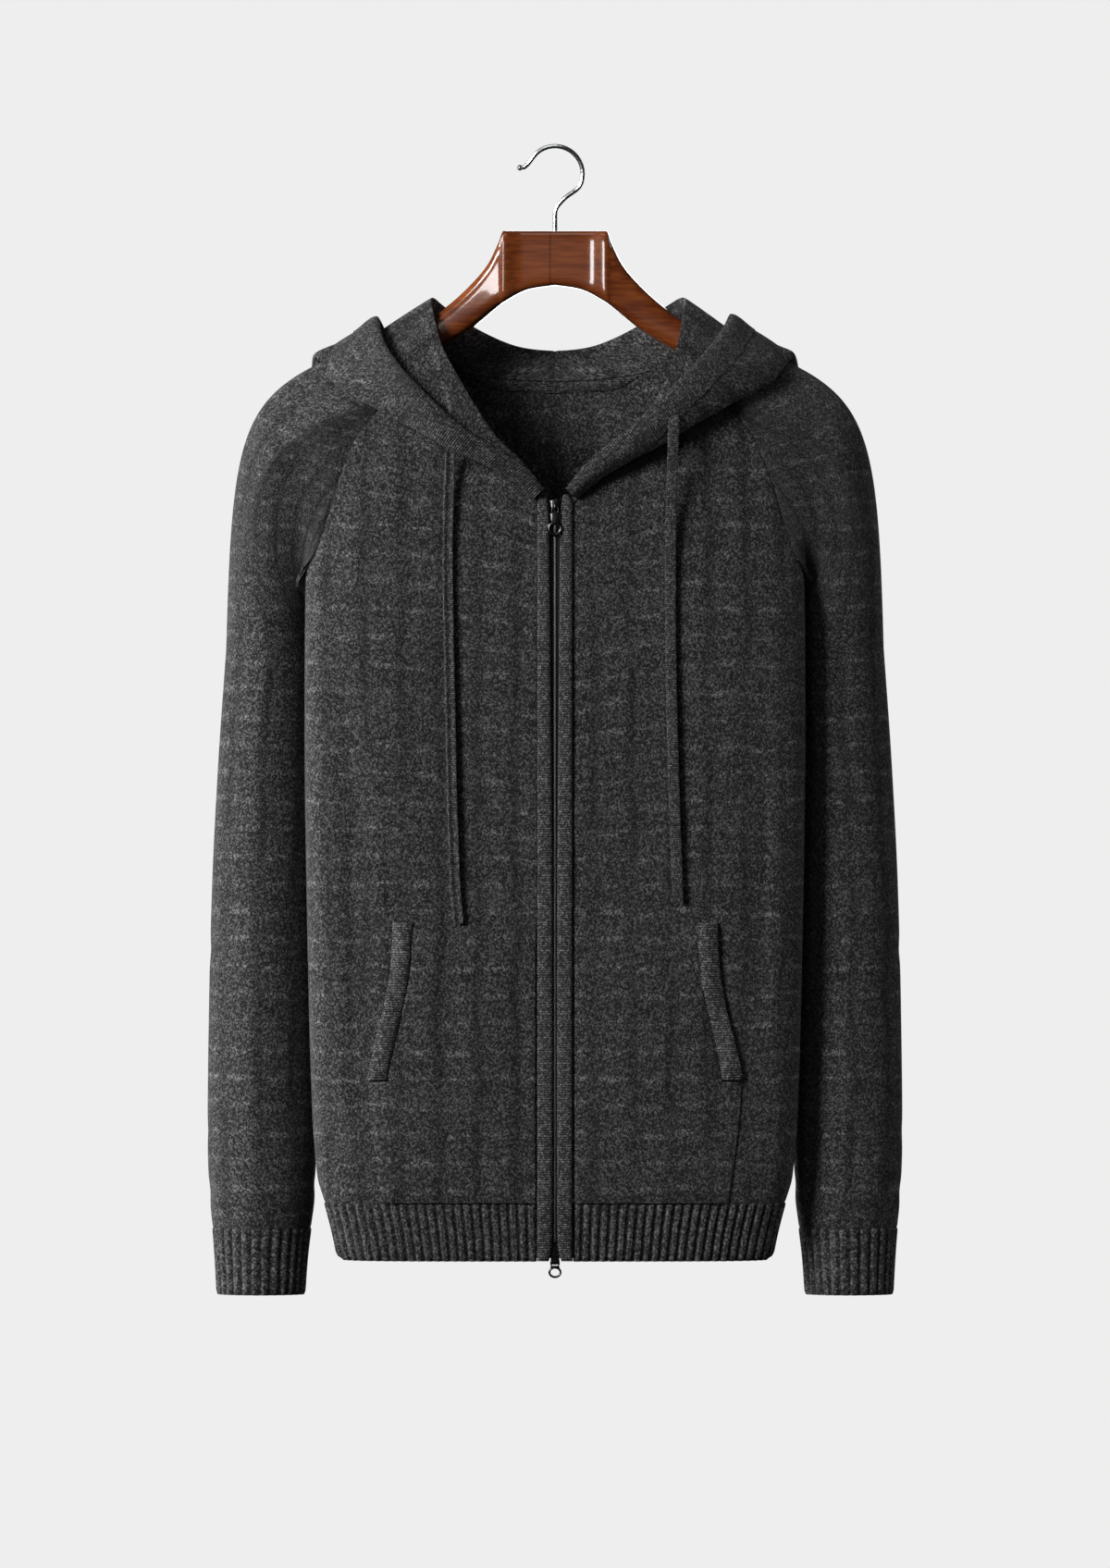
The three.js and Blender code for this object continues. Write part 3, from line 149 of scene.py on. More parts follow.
HOOD_RIGHT = table(
    HOOD_COLUMNS,
    (13, -281, 17.5, -287, 9, -279),
    (27, -257, 35, -271, 22, -263),
    (45, -240, 60, -257, 49, -246),
    (62, -217, 86, -245, 75, -229),
    (78, -190, 112, -230, 99, -207),
    (91, -165, 145, -212, 121, -184),
    (98, -140, 176, -193, 137, -161),
    (100, -123, 189, -177, 143, -139),
    *HOOD_BACK,
)
SLEEVE = table(
    "z outer inner centre_y half_depth",
    (-933, 275.5, 204, 20, 27),
    (-905, 277, 202, 20, 28.5),
    (-879, 279, 199, 21, 31),
    (-850, 282, 195.5, 23, 36),
    (-800, 283.5, 194, 27, 39),
    (-700, 282.5, 194, 31, 41),
    (-600, 280, 194.5, 33, 42),
    (-500, 275, 195, 34, 42),
    (-406, 268.5, 196, 35, 41),
)
# Long soft folds: angle from the centre front, height range, half width, depth, drift of the angle.
BODY_FOLDS = (
    (1.0, -380, -800, 0.13, 2.6, -0.1),
    (0.42, -340, -620, 0.12, 1.8, 0.05),
    (-1.0, -360, -800, 0.13, 3.0, 0.12),
    (-0.4, -340, -630, 0.12, 1.6, -0.05),
    (2.1, -380, -840, 0.16, 3.0, 0.1),
    (2.7, -430, -800, 0.16, 2.4, 0.1),
    (-2.3, -360, -800, 0.16, 3.0, -0.12),
    (-2.85, -520, -850, 0.16, 2.2, 0.08),
    (-0.93, -470, -850, 0.045, 2.4, -0.03),
    (-0.72, -500, -760, 0.045, 2.0, 0.03),
    (0.7, -600, -850, 0.045, 2.2, 0.06),
    (1.0, -420, -760, 0.04, 1.3, -0.02),
    (-0.14, -640, -850, 0.05, 1.3, 0.0),
    (-0.45, -500, -860, 0.05, 1.7, 0.03),
)
ZIP_GAP = table(
    "z half",
    (-904, 5.2),
    (-898, 3.6),
    (-890, 2.2),
    (-860, 1.6),
    (-620, 1.7),
    (-500, 2.5),
    (-400, 3.3),
    (-330, 4.1),
    (-306, 4.4),
    (-297, 4.6),
    (-287, 5.7),
)
POCKET_SIDE = table(
    "z x",
    (-857, 140),
    (-830, 144),
    (-790, 149),
    (-757, 151),
    (-730, 146),
    (-700, 139),
    (-665, 133),
    (-632, 131),
)
HANGER = table(
    "x top bottom half_depth round",
    (0, -67.5, -111.5, 11, 7),
    (20, -67.5, -114.5, 11, 7),
    (42, -67.5, -125.5, 11, 7),
    (46, -77, -128.5, 10.5, 5),
    (55, -95, -136, 10.5, 4),
    (68, -110.5, -146.5, 10.5, 3.4),
    (84, -125.5, -157, 10.5, 3),
    (102, -139, -167.5, 10.5, 2.6),
    (126, -155.2, -181, 10.5, 2.3),
    (155, -168.7, -193, 10.5, 2.2),
    (185, -183.5, -204, 10, 2.2),
    (203, -194.5, -211, 9, 2.2),
    (212, -201.5, -212, 6.5, 2.2),
)
STRING_RIGHT = (
    (-84.5, -57.4, -248.8),
    (-84.8, -56, -262),
    (-85.4, -55, -276),
    (-86, -54.4, -295),
    (-86.5, -54.2, -330),
    (-86, -54.6, -380),
    (-85, -55.4, -430),
    (-84, -56.2, -480),
    (-83, -57, -530),
    (-81.5, -57.4, -570),
    (-80, -57.4, -605),
    (-77.5, -57.4, -630),
)
STRING_LEFT = (
    (96, -64.6, -219),
    (96, -66.8, -226),
    (95.5, -67, -240),
    (95, -61, -262),
    (94, -56.5, -290),
    (93.5, -54.4, -330),
    (93.5, -54.4, -380),
    (94, -55, -430),
    (95, -55.8, -480),
    (96.5, -56.4, -530),
    (98, -56.8, -575),
    (99.5, -57, -612),
)


# Small helpers on arrays of numbers and of points
def lerp(a, b, t):
    return a + (b - a) * t


def smooth(low, high, value):
    t = np.clip((value - low) / (high - low), 0, 1)
    return t * t * (3 - 2 * t)


def hermite(a, b, da, db, t):
    t2 = t * t
    t3 = t2 * t
    return (2 * t3 - 3 * t2 + 1) * a + (t3 - 2 * t2 + t) * da + (3 * t2 - 2 * t3) * b + (t3 - t2) * db


def unit(vectors):
    return vectors / np.maximum(np.linalg.norm(vectors, axis=-1, keepdims=True), 1e-9)


def points_of(x, y, z):
    return np.stack(np.broadcast_arrays(x, y, z), axis=-1).astype(float)


def limited(a, b):
    """The tangent between two slopes, flat where they change sign, so that nothing overshoots."""
    return np.where(a * b <= 0, 0, 2 * a * b / np.where(a + b == 0, 1, a + b))


def read(rows, key, name, at):
    """A column of a table at a key, with smooth tangents between the rows."""
    keys, values = rows[key], rows[name]
    span = np.diff(keys)
    slope = np.diff(values) / span
    tangent = np.concatenate([slope[:1], limited(slope[:-1], slope[1:]), slope[-1:]])
    at = np.clip(at, keys[0], keys[-1])
    i = np.clip(np.searchsorted(keys, at, side="right") - 1, 0, len(span) - 1)
    t = (at - keys[i]) / span[i]
    return hermite(values[i], values[i + 1], tangent[i] * span[i], tangent[i + 1] * span[i], t)


def curve(points, at):
    """A centripetal Catmull-Rom curve through points, read at shares from 0 to 1."""
    points = np.asarray(points, float)
    ends = np.vstack([2 * points[:1] - points[1:2], points, 2 * points[-1:] - points[-2:-1]])
    place = np.clip(at, 0, 1) * (len(points) - 1)
    i = np.minimum(place.astype(int), len(points) - 2)
    p0, p1, p2, p3 = (ends[i + k] for k in range(4))
    d0, d1, d2 = (
        np.maximum(np.linalg.norm(b - a, axis=-1, keepdims=True), 1e-6) ** 0.5
        for a, b in ((p0, p1), (p1, p2), (p2, p3))
    )
    start = ((p1 - p0) / d0 - (p2 - p0) / (d0 + d1) + (p2 - p1) / d1) * d1
    end = ((p2 - p1) / d1 - (p3 - p1) / (d1 + d2) + (p3 - p2) / d2) * d1
    return hermite(p1, p2, start, end, (place - i)[:, None])


def grid_normals(points, wrap=False):
    """Normals of a grid of points, out of the face that sees rows go up and columns go right."""
    up = np.gradient(points, axis=0)
    if wrap:
        right = np.roll(points, -1, axis=1) - np.roll(points, 1, axis=1)
    else:
        right = np.gradient(points, axis=1)
    return unit(np.cross(right, up))


def mirrored(points):
    return points * np.array([-1, 1, 1])


def spread(length, step):
    """Shares from 0 to 1 in even steps, with short ones where the cloth turns into its seams."""
    near = np.array([0, 0.5, 1.2, 2.2, 3.6]) / length
    count = max(2, int((length - 11) / step))
    middle = np.linspace(5.5 / length, 1 - 5.5 / length, count)
    return np.concatenate([near, middle, 1 - near[::-1]])


def seam_drop(distance, depth=1.0, width=1.5):
    """How far the cloth sinks towards the seam at its edge."""
    return -depth * np.exp(-((distance / width) ** 2))


# The shape of the garment
def fold_depth(angle, z):
    depth = 0.0
    for centre, top, bottom, width, deep, drift in BODY_FOLDS:
        along = np.clip((top - z) / (top - bottom), 0, 1)
        across = (angle - centre - drift * along) / width
        depth = depth + deep * np.sin(math.pi * along) * np.exp(-across * across)
    return depth


def torso(angle, z):
    """The torso's outer surface. The angle is 0 at the centre front, a quarter turn at the left side."""
    angle, z = np.broadcast_arrays(np.asarray(angle, float), np.asarray(z, float))
    half_width = read(TORSO, "z", "half_width", z)
    is_front = np.cos(angle) >= 0
    power = np.where(is_front, 2.8 + 0.8 * smooth(-310, -420, z), 1.9)
    reach = np.where(is_front, -read(TORSO, "z", "front", z), read(TORSO, "z", "back", z))
    share = np.maximum(0, 1 - np.abs(np.sin(angle)) ** power) ** (1 / power)
    turned = np.where(angle > math.pi, angle - FULL, angle)
    dent = fold_depth(turned, z) * np.sign(reach) * np.minimum(1, share * 1.5)
    return points_of(half_width * np.sin(angle), SIDE_Y + reach * share - dent, z)


def torso_normal(angle, z):
    step = 0.02
    across = torso(angle + step, z) - torso(angle - step, z)
    up = torso(angle, z + 2) - torso(angle, z - 2)
    return unit(np.cross(across, up))


def front_angle(x, z):
    return np.arcsin(np.clip(x / read(TORSO, "z", "half_width", z), -1, 1))


def on_front(x, z, out):
    angle = front_angle(x, z)
    return torso(angle, z) + torso_normal(angle, z) * np.asarray(out)[..., None]


def centre_front_y(z):
    return SIDE_Y - read(TORSO, "z", "front", z)


def make_neck_points():
    angle = front_angle(NECK["x"], NECK["z"])
    places = np.arange(len(NECK["x"]))
    angle = np.where(places <= NECK_FRONT_JOIN, angle, math.pi - angle)
    on_body = torso(angle, NECK["z"])
    free = points_of(NECK["x"], NECK["y"], NECK["z"])
    return np.where(NECK["on_body"][:, None] > 0, on_body, free)


NECK_POINTS = make_neck_points()


def neck_point(place):
    return curve(NECK_POINTS, np.atleast_1d(place) / NECK_LAST)


def neck_outward(place):
    """Horizontal direction away from the neck at a place along its seam."""
    ahead = neck_point(np.minimum(NECK_LAST, place + 0.001))
    behind = neck_point(np.maximum(0, place - 0.001))
    t = unit(ahead - behind)
    return unit(points_of(t[..., 1], -t[..., 0], 0))


def neck_normal(place):
    place = np.atleast_1d(np.asarray(place, float))
    lean = np.interp(place, np.arange(NECK_LAST + 1), NECK["lean"])[:, None]
    return unit(neck_outward(place) * (1 - lean) + np.array([0, 0, 1]) * lean)


def seam_angle(rows, is_front, z):
    """The angle of a raglan seam, and of the side seam below the underarm."""
    lowest = rows["z"][0]
    at = np.maximum(z, lowest)
    plain = front_angle(read(rows, "z", "x", at), at)
    angle = plain if is_front else math.pi - plain
    blend = np.clip((z - UNDERARM) / (lowest - UNDERARM), 0, 1)
    return lerp(SIDE_SEAM_ANGLE, angle, blend)


def front_seam_angle(z):
    return seam_angle(RAGLAN_FRONT, True, z)


def back_seam_angle(z):
    return seam_angle(RAGLAN_BACK, False, z)


def coons(low, high, left, right, u, v):
    """Blends four boundary curves of angle and height into a patch, over shares u and v."""
    across, along = u[None, :, None], v[:, None, None]
    sides = lerp(left(v)[:, None], right(v)[:, None], across)
    ends = lerp(low(u)[None], high(u)[None], along)
    ends_of = np.array([0.0, 1.0])
    first, last = low(ends_of), high(ends_of)
    corners = lerp(lerp(first[0], first[1], across), lerp(last[0], last[1], across), along)
    patch = sides + ends - corners
    return patch[..., 0], patch[..., 1]


def pair(angle, z):
    return np.stack(np.broadcast_arrays(angle, z), axis=-1)


def front_patch(u, v):
    start = front_angle(PANEL_EDGE, HEM_TOP)
    neck_z = NECK["z"][0], NECK["z"][NECK_FRONT_JOIN]

    def high(s):
        p = neck_point(s * NECK_FRONT_JOIN)
        return pair(front_angle(p[:, 0], p[:, 2]), p[:, 2])

    def inner(s):
        z = lerp(HEM_TOP, neck_z[0], s)
        return pair(front_angle(PANEL_EDGE, z), z)

    def outer(s):
        z = lerp(HEM_TOP, neck_z[1], s)
        return pair(front_seam_angle(z), z)

    return coons(lambda s: pair(lerp(start, SIDE_SEAM_ANGLE, s), HEM_TOP), high, inner, outer, u, v)


def back_patch(u, v):
    top = NECK["z"][NECK_BACK_JOIN]

    def high(s):
        side = np.where(s < 0.5, 1, -1)
        p = neck_point(lerp(NECK_BACK_JOIN, NECK_LAST, 1 - np.abs(2 * s - 1)))
        return pair(math.pi - side * front_angle(np.maximum(0, p[:, 0]), p[:, 2]), p[:, 2])

    def left(s):
        z = lerp(HEM_TOP, top, s)
        return pair(back_seam_angle(z), z)

    def right(s):
        z = lerp(HEM_TOP, top, s)
        return pair(FULL - back_seam_angle(z), z)

    def low(s):
        return pair(lerp(SIDE_SEAM_ANGLE, FULL - SIDE_SEAM_ANGLE, s), HEM_TOP)

    return coons(low, high, left, right, u, v)


# Meshes from grids of points
class Cloth:
    """Collects grids of points with their places on the flat cloth, and makes one mesh of them."""

    def __init__(self):
        self.points = []
        self.flat = []
        self.faces = []
        self.corners = []
        self.count = 0
        self.marks = 0

    def add(self, points, flat, wrap=False):
        """Adds a grid. Where it wraps, its last column stands for the first one again."""
        rows, columns = points.shape[:2]
        kept = columns - 1 if wrap else columns
        ids = self.count + np.arange(rows * kept).reshape(rows, kept)
        if wrap:
            ids = np.hstack([ids, ids[:, :1]])
        marks = self.marks + np.arange(rows * columns).reshape(rows, columns)
        self.points.append(points[:, :kept].reshape(-1, 3))
        self.flat.append(np.asarray(flat, float).reshape(-1, 2))
        self.count += rows * kept
        self.marks += rows * columns
        return ids, marks

    def face(self, ids, marks, flip=False):
        for kind, values in ((self.faces, ids), (self.corners, marks)):
            quads = np.stack(
                [values[:-1, :-1], values[:-1, 1:], values[1:, 1:], values[1:, :-1]], axis=-1
            ).reshape(-1, 4)
            kind.append(quads[:, ::-1] if flip else quads)

    def rim(self, outer, inner, pick, flip):
        """Joins an edge of the outer grid to the same edge of the inner one."""
        ids = np.stack([pick(outer[0]), pick(inner[0])])
        marks = np.stack([pick(outer[1]), pick(outer[1])])
        self.face(ids, marks, flip)

    def make(self, name):
        mesh = bpy.data.meshes.new(name)
        faces = np.vstack(self.faces)
        mesh.from_pydata((np.vstack(self.points) * MM).tolist(), [], faces.tolist())
        flat = np.vstack(self.flat)[np.vstack(self.corners).reshape(-1)] * MM
        mesh.uv_layers.new(name="cloth").data.foreach_set("uv", flat.reshape(-1))
        mesh.validate()
        mesh.shade_smooth()
        mesh.set_sharp_from_angle(angle=math.radians(55))
        made = bpy.data.objects.new(name, mesh)
        bpy.context.scene.collection.objects.link(made)
        return made


def wall(name, outer, inner, flat, wrap=False, flip=False):
    """A closed cloth wall from an outer and an inner grid of the same size."""
    cloth = Cloth()
    out = cloth.add(outer, flat, wrap)
    ins = cloth.add(inner, flat, wrap)
    cloth.face(*out, flip=flip)
    cloth.face(*ins, flip=not flip)
    cloth.rim(out, ins, lambda g: g[0], not flip)
    cloth.rim(out, ins, lambda g: g[-1], flip)
    if not wrap:
        cloth.rim(out, ins, lambda g: g[:, 0], flip)
        cloth.rim(out, ins, lambda g: g[:, -1], not flip)
    return cloth.make(name)


def lofted(name, rings, flip=False):
    """A solid through closed rings of points, with its ends drawn in to a point."""
    rings = np.asarray(rings, float)
    caps = [np.repeat(rings[i].mean(axis=0)[None], rings.shape[1], axis=0) for i in (0, -1)]
    rings = np.concatenate([caps[0][None], rings, caps[1][None]])
    closed = np.concatenate([rings, rings[:, :1]], axis=1)
    along = run(closed.mean(axis=1)[:, None], 0)
    around = run(closed[len(closed) // 2][None], 1)
    flat = np.stack(np.broadcast_arrays(around, along), axis=-1)
    cloth = Cloth()
    ids, marks = cloth.add(closed, flat, wrap=True)
    cloth.face(ids, marks, flip)
    made = cloth.make(name)
    clean(made)
    return made


def clean(made):
    """Merges the points that lie on each other, and drops the faces that this leaves without an area."""
    mesh = bmesh.new()
    mesh.from_mesh(made.data)
    bmesh.ops.remove_doubles(mesh, verts=mesh.verts, dist=1e-6)
    bmesh.ops.dissolve_degenerate(mesh, dist=1e-7, edges=mesh.edges)
    bmesh.ops.recalc_face_normals(mesh, faces=mesh.faces)
    mesh.to_mesh(made.data)
    mesh.free()


def run(points, axis):
    """The distance along a grid's rows or columns."""
    steps = np.linalg.norm(np.diff(points, axis=axis), axis=-1)
    pad = [(1, 0) if i == axis else (0, 0) for i in range(2)]
    return np.cumsum(np.pad(steps, pad), axis=axis)


# Materials
class Shader:
    """A material under construction. A value may be a number, a colour or another node's socket."""

    def __init__(self, name):
        self.material = bpy.data.materials.new(name)
        self.material.use_nodes = True
        self.tree = self.material.node_tree
        self.surface = self.tree.nodes["Principled BSDF"]

    def node(self, kind, values=(), output=0, **settings):
        made = self.tree.nodes.new(kind)
        for key, value in settings.items():
            setattr(made, key, value)
        for socket, value in dict(values).items():
            self.put(made.inputs[socket], value)
        return made.outputs[output]

    def put(self, socket, value):
        if isinstance(value, bpy.types.NodeSocket):
            self.tree.links.new(value, socket)
        else:
            socket.default_value = value

    def math(self, operation, *values):
        return self.node("ShaderNodeMath", enumerate(values), operation=operation)

    def add(self, *values):
        total = values[0]
        for value in values[1:]:
            total = self.math("ADD", total, value)
        return total

    def times(self, *values):
        total = values[0]
        for value in values[1:]:
            total = self.math("MULTIPLY", total, value)
        return total

    def ease(self, value, low, high, start=0.0, end=1.0):
        values = {"Value": value, 1: low, 2: high, 3: start, 4: end}
        return self.node("ShaderNodeMapRange", values, interpolation_type="SMOOTHSTEP")

    def remap(self, value, low, high, start, end):
        return self.node("ShaderNodeMapRange", {"Value": value, 1: low, 2: high, 3: start, 4: end})

    def mix(self, factor, a, b):
        return self.node("ShaderNodeMix", {0: factor, 6: a, 7: b}, output=2, data_type="RGBA")

    def scaled(self, colour, factor):
        """A colour made lighter or darker by a factor."""
        return self.node("ShaderNodeVectorMath", {0: colour, "Scale": factor}, operation="SCALE")

    def cloth(self):
        """The place on the flat cloth in millimetres: across and along."""
        place = self.node("ShaderNodeUVMap", uv_map="cloth")
        split = self.tree.nodes.new("ShaderNodeSeparateXYZ")
        self.tree.links.new(place, split.inputs[0])
        return self.times(split.outputs[0], 1000), self.times(split.outputs[1], 1000)

    def noise(self, x, y, scale, detail=2.0, roughness=0.5):
        """Noise from 0 to 1 at a place, with grains of about one over the scale."""
        place = self.node("ShaderNodeCombineXYZ", {0: x, 1: y})
        values = {"Vector": place, "Scale": scale, "Detail": detail, "Roughness": roughness}
        return self.node("ShaderNodeTexNoise", values)

    def cells(self, x, y, scale):
        """A random shade from 0 to 1 for each small cell of the surface, about one over the scale wide."""
        place = self.node("ShaderNodeCombineXYZ", {0: x, 1: y})
        shades = self.node(
            "ShaderNodeTexVoronoi", {"Vector": place, "Scale": scale}, output=1, voronoi_dimensions="2D"
        )
        return self.node("ShaderNodeSeparateColor", {0: shades})

    def bump(self, height, distance=0.001):
        return self.node("ShaderNodeBump", {"Height": height, "Strength": 1.0, "Distance": distance})

    def finish(self, colour, height=None, **sockets):
        self.put(self.surface.inputs["Base Color"], colour)
        if height is not None:
            self.tree.links.new(self.bump(height), self.surface.inputs["Normal"])
        for name, value in sockets.items():
            self.put(self.surface.inputs[name.replace("_", " ")], value)
        return self.material


def stitches(s, across, along, wale=1.3, course=1.05):
    """Knitted stitches as small V shapes, from 0 in the gaps to 1 on the loops."""
    side = s.math("PINGPONG", s.times(across, 1 / wale), 0.5)
    phase = s.add(s.times(along, 1 / course), s.times(side, 1.5))
    loop = s.math("SINE", s.times(phase, FULL))
    gap = s.math("SINE", s.times(side, FULL))
    return s.add(s.times(loop, 0.25), s.times(gap, 0.25), 0.5)


def heather(s, across, along):
    """Mottled yarn: each stitch has a shade of its own, with fine fibres and soft patches, from 0 to 1."""
    stitch = s.math("POWER", s.cells(across, s.times(along, 0.8), 1.0), 2.6)
    fibres = s.ease(s.noise(across, along, 1.1, 2.0, 0.7), 0.42, 0.7)
    patches = s.noise(across, along, 0.05, 2.0, 0.5)
    return s.add(s.times(stitch, 0.95), s.times(fibres, 0.22), s.times(patches, 0.2), -0.12)


def dashes(s, across, along, sag=0.0):
    """Soft raised rows of stitches in columns 31 mm wide, one in each 22.5 mm, and the columns' edges."""
    if sag:
        near = s.math("EXPONENT", s.times(s.math("ABSOLUTE", across), -1 / 55))
        along = s.add(along, s.times(near, s.ease(along, -640, -430, 0.0, sag)))
    drift = s.times(s.add(s.noise(across, along, 0.012, 1.0), -0.5), 14)
    column = s.times(s.add(across, drift), 1 / 31)
    index = s.math("FLOOR", column)
    wobble = s.times(s.add(s.noise(across, along, 0.03, 2.0, 0.6), -0.5), 0.5)
    shift = s.times(s.math("FRACT", s.times(index, 0.37)), 0.2)
    row = s.add(s.times(along, 1 / 22.5), shift, wobble)
    away = s.math("ABSOLUTE", s.add(s.math("FRACT", row), -0.5))
    middle = s.math("ABSOLUTE", s.add(s.math("FRACT", column), -0.5))
    worn = s.noise(s.times(index, 7.3), s.times(s.math("FLOOR", row), 5.1), 1.0, 1.0)
    ragged = s.noise(across, along, 0.2, 3.0, 0.7)
    height = s.ease(away, 0.02, 0.16, 1.0, 0.0)
    width = s.ease(s.add(middle, s.times(ragged, 0.3)), 0.34, 0.66, 1.0, 0.0)
    strength = s.times(s.ease(worn, 0.3, 0.6, 0.5, 1.0), s.ease(ragged, 0.3, 0.6, 0.5, 1.0))
    return s.times(height, width, strength), middle


def knit_material(name, dark, light, pattern=1.0, sag=0.0):
    s = Shader(name)
    across, along = s.cloth()
    loops = stitches(s, across, along)
    yarn = heather(s, across, along)
    colour = s.mix(yarn, (*dark, 1), (*light, 1))
    dash, middle = dashes(s, across, along, sag)
    # Painted highlight: the colour is lighter on the raised rows of stitches and a little darker between
    # them.
    lift = s.remap(dash, 0, 1, 0.93, 1 + 0.85 * pattern)
    # Painted shade: the colour darkens towards each column's edge, where the bump sinks into a groove, fading
    # in and out in broad patches.
    fade = s.noise(across, along, 0.008, 1.0)
    column = s.times(s.ease(middle, 0.27, 0.5, 0.0, 1.0), s.ease(fade, 0.3, 0.65, 0.3, 1.0))
    column_groove_shade = s.remap(column, 0, 1, 1.0, 1 - 0.4 * pattern)
    # Painted shade: the colour darkens in the gaps between the stitches' loops and lightens on the loops.
    shade = s.remap(loops, 0, 1, 0.75, 1.2)
    colour = s.scaled(colour, s.times(lift, column_groove_shade, shade))
    height = s.add(s.times(loops, 0.3), s.times(yarn, 0.3), s.times(dash, 0.35 * pattern), s.times(column_groove_shade, 1.2))
    return s.finish(
        colour, height, Roughness=0.92, Specular_IOR_Level=0.25, Sheen_Weight=0.12, Sheen_Roughness=0.45
    )


def rib_material(name, dark, light):
    s = Shader(name)
    across, along = s.cloth()
    loops = stitches(s, across, along, 1.2, 1.0)
    yarn = heather(s, across, along)
    colour = s.mix(yarn, (*dark, 1), (*light, 1))
    # Painted shade: the colour darkens in the grooves between the ribs and in the gaps between the stitches'
    # loops.
    groove = s.ease(s.math("PINGPONG", across, RIB_PITCH / 2), 0.2, 1.3, 0.42, 1.0)
    colour = s.scaled(colour, s.times(groove, s.remap(loops, 0, 1, 0.75, 1.25)))
    height = s.add(s.times(loops, 0.3), s.times(yarn, 0.3))
    return s.finish(
        colour, height, Roughness=0.92, Specular_IOR_Level=0.25, Sheen_Weight=0.12, Sheen_Roughness=0.45
    )


def ridge_material(name, dark, light, pitch=1.7):
    """Cloth whose stitches lie in fine rows across the strip."""
    s = Shader(name)
    across, along = s.cloth()
    row = s.math("SINE", s.times(along, FULL / pitch))
    ridge = s.add(s.times(row, 0.5), 0.5)
    yarn = heather(s, across, along)
    colour = s.mix(yarn, (*dark, 1), (*light, 1))
    # Painted shade and highlight: the colour darkens between the fine rows and lightens on their tops.
    colour = s.scaled(colour, s.remap(ridge, 0, 1, 0.5, 1.3))
    height = s.add(s.times(ridge, 0.5), s.times(yarn, 0.25))
    return s.finish(colour, height, Roughness=0.92, Specular_IOR_Level=0.25, Sheen_Weight=0.1)


def wood_material():
    s = Shader("lacquered_wood")
    place = s.node("ShaderNodeTexCoord", output=3)
    values = {"Vector": place, "Scale": (6.0, 60.0, 60.0)}
    stretched = s.node("ShaderNodeMapping", values)
    grain = s.node("ShaderNodeTexNoise", {"Vector": stretched, "Scale": 6.0, "Detail": 6.0})
    wide = s.node("ShaderNodeTexNoise", {"Vector": stretched, "Scale": 1.2, "Detail": 2.0})
    tone = s.add(s.times(grain, 0.6), s.times(wide, 0.5))
    colour = s.mix(s.ease(tone, 0.35, 0.75), (0.15, 0.030, 0.008, 1), (0.34, 0.086, 0.02, 1))
    split = s.tree.nodes.new("ShaderNodeSeparateXYZ")
    s.tree.links.new(place, split.inputs[0])
    joint = s.math("ABSOLUTE", s.add(split.outputs[0], 0.004))
    colour = s.scaled(colour, s.ease(joint, 0.0, 0.0009, 0.35, 1.0))
    return s.finish(
        colour, s.times(grain, 0.02), Roughness=0.22, Coat_Weight=1.0, Coat_Roughness=0.05, Coat_IOR=1.5
    )


def metal_material(name, colour, roughness, mottle):
    s = Shader(name)
    place = s.node("ShaderNodeTexCoord", output=3)
    scratch = s.node("ShaderNodeTexNoise", {"Vector": place, "Scale": 900.0, "Detail": 3.0})
    worn = s.remap(scratch, 0.3, 0.7, 1 - mottle, 1 + mottle)
    tone = s.scaled((*colour,), worn)
    polish = s.remap(scratch, 0.3, 0.7, roughness * 0.7, roughness * 1.3)
    return s.finish(tone, None, Roughness=polish, Metallic=1.0)


def tape_material():
    s = Shader("zip_tape_weave")
    across, along = s.cloth()
    warp = s.math("SINE", s.times(across, FULL / 0.8))
    weft = s.math("SINE", s.times(along, FULL / 0.6))
    weave = s.add(s.times(warp, weft, 0.5), 0.5)
    colour = s.mix(weave, (0.006, 0.006, 0.007, 1), (0.02, 0.02, 0.022, 1))
    return s.finish(colour, s.times(weave, 0.15), Roughness=0.85)


DARK = (0.0070, 0.0069, 0.0073)
LIGHT = (0.205, 0.200, 0.205)
KNIT = knit_material("knit", DARK, LIGHT)
FRONT_KNIT = knit_material("front_knit", DARK, LIGHT, 1.0, 30.0)
RIB = rib_material("rib_knit", (0.010, 0.0098, 0.0104), (0.25, 0.244, 0.25))
RIDGES = ridge_material("ridged_knit", (0.014, 0.0137, 0.0145), (0.21, 0.205, 0.21), 1.9)
EDGE = ridge_material("edge_knit", (0.024, 0.0235, 0.0245), (0.30, 0.294, 0.30), 1.9)
CORD = ridge_material("cord_knit", (0.022, 0.0215, 0.0225), (0.27, 0.264, 0.27), 1.6)
TAPE = tape_material()
WOOD = wood_material()
CHROME = metal_material("chrome_wire", (0.82, 0.83, 0.85), 0.24, 0.03)
NICKEL = metal_material("black_nickel", (0.085, 0.085, 0.09), 0.17, 0.1)
TEETH = metal_material("zip_teeth_metal", (0.2, 0.2, 0.21), 0.4, 0.1)


def dress(made, material, body="hoodie", nodes=()):
    made.data.materials.clear()
    made.data.materials.append(material)
    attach(made, body)
    if nodes:
        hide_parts(*nodes)
    return made


# The camera and the cords
def make_camera():
    data = bpy.data.cameras.new("camera")
    data.sensor_fit = "VERTICAL"
    data.sensor_height = 24
    distance = 9.0
    data.lens = 24 * (distance - 0.03) / 1.27125
    data.clip_end = 100
    camera = bpy.data.objects.new("camera", data)
    camera.location = (0, -distance, -0.5171)
    camera.rotation_euler = (math.pi / 2, 0, 0)
    bpy.context.scene.collection.objects.link(camera)
    bpy.context.scene.camera = camera


def even_along(points, count):
    """Points at even distances along a curve."""
    dense = curve(points, np.linspace(0, 1, 2000))
    length = run(dense[:, None], 0)[:, 0]
    at = np.linspace(0, length[-1], count)
    return np.stack([np.interp(at, length, dense[:, k]) for k in range(3)], axis=-1), length[-1]


